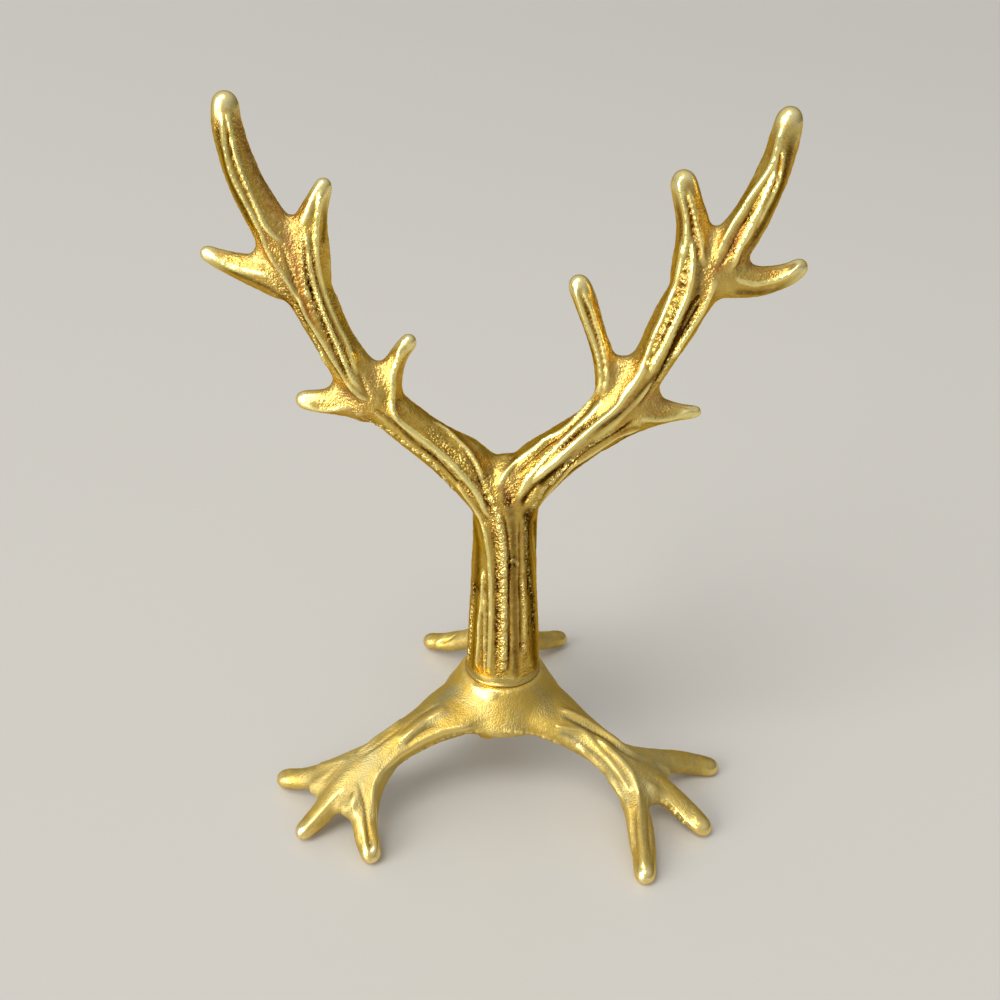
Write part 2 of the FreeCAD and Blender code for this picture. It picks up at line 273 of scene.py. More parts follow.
@dataclass(frozen=True)
class Viewpoint:
    """Where the photograph was taken from, in millimetres from the trunk's foot, and how.

    Attributes:
        place: The camera's place.
        pitch: How far it looks down, in degrees.
        roll: How far it is turned about its line of sight, in degrees.
        yaw: How far it is turned from the holder's front, in degrees.
        focal: Its focal length, in pixels of the photograph.
        sensor: The width of its sensor, in millimetres.
        nearest: The least distance that it shows, in metres.
    """

    place: tuple[float, float, float] = (0.0, -162.48, 139.52)
    pitch: float = 27.5
    roll: float = 1.3
    yaw: float = -0.4
    focal: float = 1100.0
    sensor: float = 36.0
    nearest: float = 0.01

    def axes(self) -> tuple[Vector, Vector, Vector]:
        """The directions forward, to the right and up of the picture."""
        pitch, roll, yaw = (math.radians(angle) for angle in (self.pitch, self.roll, self.yaw))
        level = math.cos(pitch)
        forward = Vector((math.sin(yaw) * level, math.cos(yaw) * level, -math.sin(pitch)))
        right = Vector((math.cos(yaw), -math.sin(yaw), 0.0))
        up = right.cross(forward)
        turned_right = right * math.cos(roll) + up * math.sin(roll)
        turned_up = up * math.cos(roll) - right * math.sin(roll)
        return forward, turned_right, turned_up

    def ray(self, across: float, down: float) -> tuple[Vector, Vector]:
        """The line of sight through a pixel of the photograph.

        Args:
            across: Pixels from the left edge.
            down: Pixels from the upper edge.

        Returns:
            Its start and its direction, in metres of the row frame.
        """
        forward, right, up = self.axes()
        middle = PHOTO_SIDE / 2
        way = forward * self.focal + right * (across - middle) - up * (down - middle)
        return spot(*self.place), way.normalized()

    def add_camera(self) -> None:
        """Add the scene's camera at this place."""
        forward, right, up = self.axes()
        data = bpy.data.cameras.new("photo_camera")
        data.sensor_width = self.sensor
        data.lens = self.sensor * self.focal / PHOTO_SIDE
        data.clip_start = self.nearest
        camera = bpy.data.objects.new("photo_camera", data)
        bpy.context.scene.collection.objects.link(camera)
        turn = Matrix((right, up, -forward)).transposed().to_4x4()
        camera.matrix_world = Matrix.Translation(spot(*self.place)) @ turn
        bpy.context.scene.camera = camera


class Line(Enum):
    """The kinds of line that a casting's surface has."""

    RIDGE = "ridge"
    GROOVE = "groove"
    BEADS = "beads"
    TEETH = "teeth"
    GRIT = "grit"
    # Painted shade: a darker colour laid along a traced line where the metal looks dark
    DULL = "dull"
    BLUSH = "blush"


RIDGE, GROOVE, BEADS, TEETH, GRIT, DULL, BLUSH = Line
# Waves along a line, by their turns for each millimetre and the multiple of the line's own phase
SWELLS = ((0.10, (0.8, 1)), (0.04, (1.9, 2)))
BROKEN = {
    BEADS: (0.72, 0.13, ((2.3, 1), (3.7, 2), (6.1, 0))),
    TEETH: (0.5, 0.25, ((2.7, 1), (6.1, 2))),
}


@dataclass(frozen=True)
class Rib:
    """A raised, sunken or tinted line of a casting, or a line of painted shade, traced in the
    photograph.

    Attributes:
        kind: What the line is like along its length.
        height: Its height over the surface, in millimetres, or the strength of its tint or of its
            painted shade.
        width: Half its width, in millimetres.
        flank: How far the surface falls away from it to each side, in millimetres.
        trace: Its points in the photograph, in pixels.
        fade: The length of its sloping ends, in millimetres.
        groove_fall: How fast a groove's side rises.
        cord_share: The share of a flanked line's height that its rounded middle has.
        flank_bend: How hollow its flanks are.
    """

    kind: Line
    height: float
    width: float
    flank: float
    trace: Rows
    fade: float = 2.2
    groove_fall: float = 1.4
    cord_share: float = 0.3
    flank_bend: float = 1.5

    def reach(self) -> float:
        """How far from the line the surface is changed, in millimetres."""
        return max(self.flank, self.width * (2.0 if self.kind is GROOVE else 1.0))

    def cord(self, distance: np.ndarray, most: float = math.inf) -> np.ndarray:
        """The rounded middle of the line, from 1 on it to 0 at its edge or at the distance most."""
        return np.clip(1 - (distance / min(self.width, most)) ** 2, 0, 1)

    def lift(self, distance: np.ndarray, run: np.ndarray, length: float) -> np.ndarray:
        """How far the line lifts the surface.

        Args:
            distance: Distances from the line, in millimetres.
            run: The places along the line, in millimetres.
            length: The line's length, in millimetres.

        Returns:
            The lift in millimetres, negative in a groove.
        """
        slope = min(self.fade, length / 3)
        ends = np.clip(run / slope, 0, 1) * np.clip((length - run) / slope, 0, 1)
        ends = ends * (2 - ends)
        phase = self.trace[0][0]

        def wave(pitch: float, turns: float) -> np.ndarray:
            """A wave along the line, begun at a phase that tells this line from others."""
            return np.sin(pitch * run + turns * phase)

        along = 1.0
        for share, swell in SWELLS:
            along = along + share * wave(*swell)
        if self.kind is GROOVE:
            sides = np.exp(-self.groove_fall * (distance / self.width) ** 2)
            return -self.height * sides * ends * along
        if self.kind in BROKEN:
            level, share, waves = BROKEN[self.kind]
            along *= level + share * sum(wave(*each) for each in waves)
        profile = self.cord(distance)
        if self.flank > 0:
            flanks = np.clip(1 - distance / self.flank, 0, 1) ** self.flank_bend
            profile = self.cord_share * profile + (1 - self.cord_share) * flanks
        return self.height * profile * ends * along


def ribs(*rows: tuple) -> tuple[Rib, ...]:
    """The lines of a table of kind, height, width, flank, then pixels across and down in turn."""
    return tuple(Rib(*row[:4], tuple(zip(row[4::2], row[5::2]))) for row in rows)


@dataclass
class Surface:
    """A casting's mesh as arrays, and the ways its surface is worked.

    Attributes:
        piece: The casting.
        places: Its vertices.
        normals: The surface's directions at them.
        raised: How far lines raise each vertex, in millimetres.
        sunk: How far grooves sink it.
        skin: How far the uneven skin moves it.
        marks: How far it is on a crest, in grit, in painted shade or in the second tint, from 0 to
            1.
        tree: The mesh as it was at first, for lines of sight.
        line_points: How many points a line has for each traced one.
        line_step: The limits of the steps of a line that are used, in metres.
        stray: How far a far-side line wanders, in millimetres, and its turn from point to point.
        far_start: How far behind its front a far-side line is looked for, in metres.
        facing_back: How far to the back the surface has to look there.
        facing_up: How far up it has to look for a line that is turned onto another leg.
        turn_miss: How far such a line may miss the other leg, in metres.
        same_lean: How far faces have to look the line's way to take some of it, and for the rest.
        far_lean: The same for looking to the back, on the far side.
        crest_width: The most half width that a ridge's smooth crest has, in millimetres.
        tip_rub: How strongly the tips are rubbed.
        worn_and_sheen_share: The share of the rubbed reach that is also paler, as wear and as a
            painted highlight.
        calm: How much less uneven the skin is on crests, and how much less painted shade they take.
        grit_mix: The strength of the grit, and how much less it has on crests.
    """

    piece: bpy.types.Object
    places: np.ndarray = field(init=False)
    normals: np.ndarray = field(init=False)
    raised: np.ndarray = field(init=False)
    sunk: np.ndarray = field(init=False)
    skin: np.ndarray = field(init=False)
    marks: dict[Line, np.ndarray] = field(init=False)
    tree: BVHTree = field(init=False)
    line_points: int = 4
    line_step: Pair = (1e-7, 4 * MM)
    stray: Pair = (0.3, 0.16)
    far_start: float = 0.06
    facing_back: float = 0.3
    facing_up: float = 0.05
    turn_miss: float = 2 * MM
    same_lean: Pair = (0.05, 0.5)
    far_lean: Pair = (0.5, 0.3)
    crest_width: float = 0.55
    tip_rub: float = 2.0
    worn_and_sheen_share: float = 0.62
    calm: float = 0.8
    grit_mix: Pair = (1.6, 0.7)

    def __post_init__(self) -> None:
        """Read the mesh."""
        self._read()
        count = len(self.places)
        self.raised, self.sunk, self.skin = (np.zeros(count) for _ in range(3))
        self.marks = {kind: np.zeros(count) for kind in (RIDGE, GRIT, DULL, BLUSH)}
        self.tree = BVHTree.FromObject(self.piece, bpy.context.evaluated_depsgraph_get())

    def _read(self) -> None:
        """Take the vertices and their normals from the mesh."""
        vertices = self.piece.data.vertices
        for name, key in (("places", "co"), ("normals", "normal")):
            flat = np.zeros(len(vertices) * 3)
            vertices.foreach_get(key, flat)
            setattr(self, name, flat.reshape(-1, 3))

    def on_front(self, trace: Rows, view: Viewpoint) -> Course:
        """Throw a traced line onto the casting from where the photograph was taken.

        Args:
            trace: The line in pixels.
            view: The photograph's viewpoint.

        Returns:
            Points on the surface with its directions there.
        """
        pixels = smooth_line(trace, self.line_points)
        hits = [self.tree.ray_cast(*view.ray(*pixel)) for pixel in pixels]
        return [(place, facing) for place, facing, _, _ in hits if place is not None]

    def on_back(self, front: Course, shift: float) -> Course:
        """The same line on the far side, a little to one side so that the two sides differ.

        Args:
            front: The line's points and directions on the front.
            shift: How far to one side it goes, in millimetres.

        Returns:
            Points on the far side with the surface's directions there.
        """
        found = []
        wander, turn = self.stray
        for i, (place, _) in enumerate(front):
            aside = (shift + wander * math.sin(turn * i + shift)) * MM
            start = Vector((place.x + aside, place.y + self.far_start, place.z))
            hit, facing, _, _ = self.tree.ray_cast(start, Vector((0, -1, 0)))
            if hit is not None and facing.y > self.facing_back:
                found.append((hit, facing))
        return found

    def turned(self, front: Course, degrees: float) -> Course:
        """The same line on another leg, turned about the trunk's axis.

        Args:
            front: The line's points and directions on the first leg.
            degrees: How far it is turned.

        Returns:
            Points on the other leg with the surface's directions there.
        """
        turn = Matrix.Rotation(math.radians(degrees), 3, "Z")
        found = []
        for place, facing in front:
            moved = FOOT + turn @ (place - FOOT)
            hit, found_facing, _, gap = self.tree.find_nearest(moved)
            if facing.z >= self.facing_up and hit is not None and gap < self.turn_miss:
                found.append((hit, found_facing))
        return found

    def lay(self, rib: Rib, line: Course, share: float = 1.0, behind: bool = False) -> None:
        """Raise, sink or tint the surface, or paint shade on it, along a line that lies on it.

        Args:
            rib: The line's form.
            line: Its points and the surface's directions there.
            share: The share of its height to use.
            behind: Whether only the far side takes it.
        """
        if len(line) < 3:
            return
        points = np.array([place for place, _ in line])
        facings = np.array([facing for _, facing in line])
        reach = rib.reach() * MM
        low, high = points.min(0) - reach, points.max(0) + reach
        rows = np.flatnonzero(np.all((self.places > low) & (self.places < high), axis=1))
        spots = self.places[rows]
        best = np.full(len(rows), np.inf)
        run = np.zeros(len(rows))
        facing = np.zeros((len(rows), 3))
        done = 0.0
        for start, end, start_facing in zip(points, points[1:], facings):
            step = end - start
            length = float(np.linalg.norm(step))
            if self.line_step[0] <= length <= self.line_step[1]:
                along = np.clip((spots - start) @ step / length**2, 0, 1)
                gap = np.linalg.norm(spots - start - along[:, None] * step, axis=1)
                nearer = gap < best
                best[nearer] = gap[nearer]
                run[nearer] = done + along[nearer] * length
                facing[nearer] = start_facing
            done += length
        held = best < reach
        rows, best, run = rows[held], best[held] / MM, run[held] / MM
        lean = (self.normals[rows] * facing[held]).sum(1)
        same_side = np.clip((lean - self.same_lean[0]) / self.same_lean[1], 0, 1)
        if behind:
            back = self.normals[rows, 1]
            same_side *= np.clip((back - self.far_lean[0]) / self.far_lean[1], 0, 1)
        # Blush lines tint the colour and painted-shade lines darken it; neither moves the surface
        tint = rib.kind in (DULL, BLUSH)
        if rib.kind in self.marks:
            most = self.crest_width if rib.kind is RIDGE else math.inf
            mark = (rib.height if tint else 1.0) * rib.cord(best, most) * same_side
            kept = self.marks[rib.kind]
            kept[rows] = np.maximum(kept[rows], mark)
        if not tint:
            lift = share * rib.lift(best, run, done / MM) * same_side
            self.raised[rows] = np.maximum(self.raised[rows], lift)
            self.sunk[rows] = np.minimum(self.sunk[rows], lift)

    def near(self, spots: list[Vector], radius: float, strength: float = 1.0) -> np.ndarray:
        """How close each vertex is to the nearest of some points.

        Args:
            spots: The points, in metres.
            radius: The distance at which nothing is left, in millimetres.
            strength: What the share is multiplied by, and then cut off at 1.

        Returns:
            Numbers from 1 at the points to 0 at the radius.
        """
        share = np.zeros(len(self.places))
        for point in spots:
            gap = np.linalg.norm(self.places - np.array(point), axis=1) / (radius * MM)
            share = np.maximum(share, np.clip(1 - gap, 0, 1))
        return np.clip(strength * share, 0, 1)

    def rub_and_highlight(self, spots: list[Vector], radius: float, strength: float) -> None:
        """Make the skin smooth round some points, with a painted highlight there, given as near
        takes them.
        """
        rubbed = self.near(spots, radius, strength)
        self.marks[RIDGE] = np.maximum(self.marks[RIDGE], rubbed)

    def polish(self, tips: list[Vector], radius: float) -> None:
        """Smooth the tips and paint them paler, for wear where hands and cloths reach and a painted
        highlight, round a radius in millimetres.
        """
        self.rub_and_highlight(tips, radius, self.tip_rub)
        self.keep("worn_and_sheen", self.near(tips, self.worn_and_sheen_share * radius, self.tip_rub))

    def roughen(self, size: float, height: float, seed: float) -> None:
        """Add the uneven skin of a sand casting, between its smooth crests.

        Args:
            size: The size of the lumps, in millimetres.
            height: Their height, in millimetres.
            seed: A number that tells this skin from others.
        """
        shift = Vector((seed, 2 * seed, -seed))
        scale = 1 / (size * MM)
        skin = [noise.noise(Vector(place) * scale + shift) for place in self.places]
        self.skin += height * np.array(skin) * (1 - self.calm * self.marks[RIDGE])

    def settle(self) -> None:
        """Move the mesh's vertices by what has been worked, and keep the marks for the finish."""
        worked = self.raised + self.sunk + self.skin
        self.hold(self.places + self.normals * (worked * MM)[:, None])
        crest, grit, dull, blush = self.marks.values()
        strength, less = self.grit_mix
        self.keep("crest", crest)
        self.keep("grit", np.clip(strength * grit * (1 - less * crest), 0, 1))
        # Painted shade, less of it on the crests
        self.keep("dull", dull * (1 - self.calm * crest))
        self.keep("blush", blush)

    def keep(self, name: str, values: np.ndarray) -> None:
        """Store a number with each vertex, under a name that the finish reads."""
        held = self.piece.data.attributes.new(name, "FLOAT", "POINT")
        held.data.foreach_set("value", values.astype(np.float32))

    def hold(self, places: np.ndarray) -> None:
        """Put the given places into the mesh as they are."""
        self.piece.data.vertices.foreach_set("co", places.ravel())
        self.piece.data.update()
        self._read()

    def mark_height(self, name: str, rounds: int) -> None:
        """Store how far each vertex stands out of its surroundings, for painted highlight and
        shade.

        Args:
            name: The attribute's name.
            rounds: How often the surroundings are evened out.
        """
        edges = self.piece.data.edges
        ends = np.zeros(len(edges) * 2, int)
        edges.foreach_get("vertices", ends)
        first, second = ends.reshape(-1, 2).T
        count = len(self.places)
        shared = np.bincount(first, minlength=count) + np.bincount(second, minlength=count)
        even = self.places.copy()
        for _ in range(rounds):
            for column in even.T:
                total = np.bincount(first, column[second], count)
                total += np.bincount(second, column[first], count)
                column[:] = total / np.maximum(shared, 1)
        self.keep(name, ((self.places - even) * self.normals).sum(1) / MM)


def weld(
    pieces: list[bpy.types.Object], name: str, fillet: float, voxel: float
) -> bpy.types.Object:
    """Join overlapping limbs into one skin with soft inner corners.

    Args:
        pieces: The closed limbs.
        name: The casting's name.
        fillet: How far the inner corners are filled, in millimetres.
        voxel: The size of the skin's faces, in millimetres.

    Returns:
        The one closed casting.
    """
    only(pieces[0])
    for piece in pieces:
        piece.select_set(True)
    bpy.ops.object.join()
    body = bpy.context.view_layer.objects.active
    body.name = body.data.name = name
    coarse = COARSENESS * voxel
    for size, rounds, swell in (
        (coarse, 2, fillet),
        (coarse, 3, -SHRINK_BACK * fillet),
        (voxel, 4, 0.0),
    ):
        finish_with(body, "REMESH", mode="VOXEL", voxel_size=size * MM)
        finish_with(body, "SMOOTH", factor=0.5, iterations=rounds)
        if swell:
            settings = {"mid_level": 0.0, "direction": "NORMAL"}
            finish_with(body, "DISPLACE", strength=swell * MM, **settings)
    return body


def drill(piece: bpy.types.Object, bit: bpy.types.Object) -> None:
    """Cut a round tool out of a casting and put the tool away.

    Args:
        piece: The casting.
        bit: The tool.
    """
    finish_with(piece, "BOOLEAN", operation="DIFFERENCE", object=bit, solver="EXACT")
    bpy.data.objects.remove(bit)


class Value:
    """A number that a finish works out at each point of a surface, written as ordinary sums."""

    def __init__(self, nodes: "Nodes", socket: bpy.types.NodeSocket) -> None:
        """Wrap a socket of the node tree."""
        self.nodes = nodes
        self.socket = socket

    def _math(self, operation: str, *inputs: object) -> "Value":
        """Add a Math node of the given operation."""
        return self.nodes.add("ShaderNodeMath", {"operation": operation}, dict(enumerate(inputs)))

    def __add__(self, other: object) -> "Value":
        """This plus another."""
        return self._math("ADD", self, other)

    def __sub__(self, other: object) -> "Value":
        """This minus another."""
        return self._math("SUBTRACT", self, other)

    def __rsub__(self, other: object) -> "Value":
        """Another minus this."""
        return self._math("SUBTRACT", other, self)

    def __mul__(self, other: object) -> "Value":
        """This times another."""
        return self._math("MULTIPLY", self, other)

    __radd__ = __add__
    __rmul__ = __mul__

    def ramp(self, low: float, high: float) -> "Value":
        """A soft step from 0 at low to 1 at high."""
        settings = {"interpolation_type": "SMOOTHSTEP", "clamp": True}
        sockets = {"Value": self, "From Min": low, "From Max": high}
        return self.nodes.add("ShaderNodeMapRange", settings, sockets)


class Nodes:
    """One material's node tree, built node by node."""

    def __init__(self, name: str) -> None:
        """Make an empty material with a surface shader."""
        self.material = bpy.data.materials.new(name)
        self.material.use_nodes = True
        self.tree = self.material.node_tree
        self.shader = self.tree.nodes["Principled BSDF"]

    def add(self, kind: str, settings: dict, sockets: dict, output: int | str = 0) -> Value:
        """Add a node.

        Args:
            kind: The node's type.
            settings: Its properties, set first.
            sockets: Values or links of its input sockets, by name or number.
            output: The output that is wanted.

        Returns:
            The wanted output.
        """
        node = self.tree.nodes.new(kind)
        for key, value in settings.items():
            setattr(node, key, value)
        for key, value in sockets.items():
            self.link(value, node.inputs[key])
        return Value(self, node.outputs[output])

    def link(self, value: object, target: bpy.types.NodeSocket) -> None:
        """Give a socket a link or a plain value.

        Args:
            value: The Value to link, or the plain value to set.
            target: The socket.
        """
        if isinstance(value, Value):
            self.tree.links.new(value.socket, target)
        else:
            target.default_value = value

    def place(self) -> Value:
        """The point's place on the object, in metres."""
        return self.add("ShaderNodeTexCoord", {}, {}, "Object")

    def noise(self, size: float, detail: float = 2.0, rough: float = 0.5) -> Value:
        """Soft noise with lumps of a size in millimetres."""
        sockets = {"Scale": 1 / (size * MM), "Detail": detail, "Roughness": rough}
        return self.add("ShaderNodeTexNoise", {}, {"Vector": self.place(), **sockets})

    def grains(self, size: float) -> Value:
        """Rounded grains of a size in millimetres, 0 at their middles."""
        sockets = {"Vector": self.place(), "Scale": 1 / (size * MM)}
        return self.add("ShaderNodeTexVoronoi", {"feature": "SMOOTH_F1"}, sockets)

    def attribute(self, name: str) -> Value:
        """A number kept with the mesh's vertices."""
        return self.add("ShaderNodeAttribute", {"attribute_name": name}, {}, "Fac")

    def blend(self, share: Value, first: object, second: Colour) -> Value:
        """A colour between one and another, which is given in screen values."""
        settings = {"data_type": "RGBA", "clamp_factor": True}
        return self.add("ShaderNodeMix", settings, {0: share, 6: first, 7: tone(second)}, 2)

    def bump(self, height: Value, strength: float, distance: float) -> Value:
        """A bumpy skin from heights, of a strength and with a depth in millimetres."""
        sockets = {"Height": height, "Strength": strength, "Distance": distance * MM}
        return self.add("ShaderNodeBump", {}, sockets)

    def set(self, **sockets: object) -> None:
        """Set the surface shader's sockets.

        Args:
            sockets: Values by the sockets' names, with underscores for the spaces in them.
        """
        for key, value in sockets.items():
            self.link(value, self.shader.inputs[key.replace("_", " ")])


def tone(colour: Colour) -> tuple[float, float, float, float]:
    """Turn a colour into the shader's linear numbers.

    Args:
        colour: Its red, green and blue in screen values from 0 to 255.

    Returns:
        The three linear numbers, and 1 for its opacity.
    """
    linear = []
    for share in (value / 255 for value in colour):
        linear.append(share / 12.92 if share <= 0.04045 else ((share + 0.055) / 1.055) ** 2.4)
    return (*linear, 1.0)


@dataclass(frozen=True)
class GoldCasting:
    """The gold-plated skin of a casting: painted highlights on its crests, painted shade and some
    patina in its hollows.

    Attributes:
        crest: The colour of the painted highlights on crests, raised parts and grain middles.
        face: The colour of plain faces.
        hollow: The colour of the painted shade in grooves, corners and between grains, with some
            patina.
        blush: The orange or olive tint that comes and goes.
        pale_reflection: The paler colour in the forks, a painted reflection of the pale
            surroundings.
        worn_and_sheen: The paler colour of the tips, for gold thinned by wear and for a painted
            highlight.
        edge: The colour that the faces take towards their outlines.
        mottle: How far the tint comes through in patches, from 0 to 1.
        shine: The roughness of plain faces.
        polish: How much smoother the crests and tips are, negative where they are more satin.
        grain: How strongly the grains show, from 0 to 1.
        grain_size: The grains' size, in millimetres.
        patch_size: The size of the tinted patches, in millimetres.
        fleck_size: The size of the pale flecks on the tips, in millimetres.
        fine_size: The size of the fine unevenness of the tints, in millimetres.
        dust_size: The size of the finest bumps, in millimetres.
        bump_depth: The depth of the bumps, in millimetres.
        rough_noise: The roughness of the fine noise and of the flecks' noise.
        crest_step: Between which values of its mark a crest comes in, and so for the next seven.
    """

    name: str
    crest: Colour
    face: Colour
    hollow: Colour
    blush: Colour
    pale_reflection: Colour
    worn_and_sheen: Colour
    edge: Colour
    mottle: float
    shine: float
    polish: float
    grain: float
    grain_size: float
    patch_size: float = 4.5
    fleck_size: float = 0.9
    fine_size: float = 0.4
    dust_size: float = 0.22
    bump_depth: float = 0.2
    rough_noise: float = 0.6
    crest_step: Pair = (0.15, 0.75)
    patch_step: Pair = (0.40, 0.64)
    pit_step: Pair = (0.34, 0.56)
    grain_step: Pair = (0.10, 0.32)
    fleck_step: Pair = (0.42, 0.62)
    sunk_step: Pair = (0.0, 0.12)
    recess_shade_step: Pair = (0.02, 0.34)
    proud_step: Pair = (0.02, 0.14)

    def build(self) -> bpy.types.Material:
        """Make the material.

        Returns:
            The finished material.
        """
        nodes = Nodes(self.name)
        height, depth, web, grit = map(nodes.attribute, ("height", "depth", "web", "grit"))
        patches = nodes.noise(self.patch_size).ramp(*self.patch_step)
        fine = nodes.noise(self.fine_size, 3.0, self.rough_noise)
        uneven = fine - 0.5
        cells = nodes.grains(self.grain_size)
        smooth = nodes.attribute("crest").ramp(*self.crest_step)
        # Painted shade along the traced lines, made uneven by the fine noise
        dull = nodes.attribute("dull") * (0.8 + fine * 0.65)
        gritty = (grit + patches * (1 - smooth) * 0.25) * self.grain
        pits = cells.ramp(*self.pit_step)
        # Painted shade in creases, in wide recesses and between grains, with some patina in the
        # hollows
        sunk = (height * -1 + uneven * 0.10).ramp(*self.sunk_step)
        recess_shade = (depth * -1 + uneven * 0.12).ramp(*self.recess_shade_step)
        proud = (height + uneven * 0.06).ramp(*self.proud_step)
        grains = (1 - cells.ramp(*self.grain_step)) * gritty * (1 - sunk * 0.5)
        tint = patches * self.mottle + nodes.attribute("blush") * (0.55 + fine * 0.7)
        # All the painted shade, much less of it in the forks
        dark = (sunk * 0.50 + recess_shade * 0.60 + dull + pits * gritty * 0.35) * (1 - web * 0.7)
        # Painted highlights on smooth crests, raised parts and grain middles
        painted_highlight = smooth * 0.26 + proud * 0.64 * (1 - dull) + grains * 0.8
        flecks = nodes.noise(self.fleck_size, 3.0, self.rough_noise).ramp(*self.fleck_step)
        colour = nodes.blend(tint, tone(self.face), self.blush)
        colour = nodes.blend(dark, colour, self.hollow)
        colour = nodes.blend(painted_highlight, colour, self.crest)
        # The forks painted paler, a painted reflection of the pale surroundings
        colour = nodes.blend(web * (0.30 + fine * 0.4), colour, self.pale_reflection)
        # The tips paler in flecks: wear and a painted highlight
        colour = nodes.blend(nodes.attribute("worn_and_sheen") * flecks * 0.6, colour, self.worn_and_sheen)
        rough = self.shine - smooth * self.polish + sunk * 0.08 + web * 0.14
        rough = rough + uneven * 0.14 - grains * 0.05
        bare = (1 - smooth * 0.85) * (0.42 + 0.3 * patches + 0.3 * web)
        skin = cells * -1 + nodes.noise(self.dust_size) * 0.7
        bump = nodes.bump(skin * ((bare + grit * 0.9) * self.grain), 0.8, self.bump_depth)
        nodes.set(Base_Color=colour, Metallic=1.0, Roughness=rough, Normal=bump)
        nodes.set(Specular_Tint=tone(self.edge))
        return nodes.material


@dataclass(frozen=True)
class TurnedSteel:
    """Plated steel with the fine rings that turning leaves.

    Attributes:
        colour: Its colour.
        stain: The colour of its stains.
        shine: Its roughness where it is clean.
        stain_size: The stains' size, in millimetres.
        stain_step: Between which values of their noise they come in.
        ring_gap: The rings' width, in millimetres.
        ring_depth: Their depth, in millimetres.
    """

    name: str
    colour: Colour = (196, 198, 202)
    stain: Colour = (150, 146, 138)
    shine: float = 0.24
    stain_size: float = 1.4
    stain_step: Pair = (0.5, 0.75)
    ring_gap: float = 0.09
    ring_depth: float = 0.02

    def build(self) -> bpy.types.Material:
        """Make the material.

        Returns:
            The finished material.
        """
        nodes = Nodes(self.name)
        sockets = {"Vector": nodes.place(), "Location": -FOOT}
        centred = nodes.add("ShaderNodeMapping", {"vector_type": "POINT"}, sockets)
        settings = {"wave_type": "RINGS", "rings_direction": "Z"}
        waves = {"Vector": centred, "Scale": 0.3 / (self.ring_gap * MM), "Distortion": 0.4}
        rings = nodes.add("ShaderNodeTexWave", settings, waves)
        stains = nodes.noise(self.stain_size, 3.0).ramp(*self.stain_step)
        colour = nodes.blend(stains * 0.35, tone(self.colour), self.stain)
        bump = nodes.bump(rings, 0.25, self.ring_depth)
        rough = self.shine + stains * 0.2
        nodes.set(Base_Color=colour, Metallic=1.0, Roughness=rough, Normal=bump)
        return nodes.material


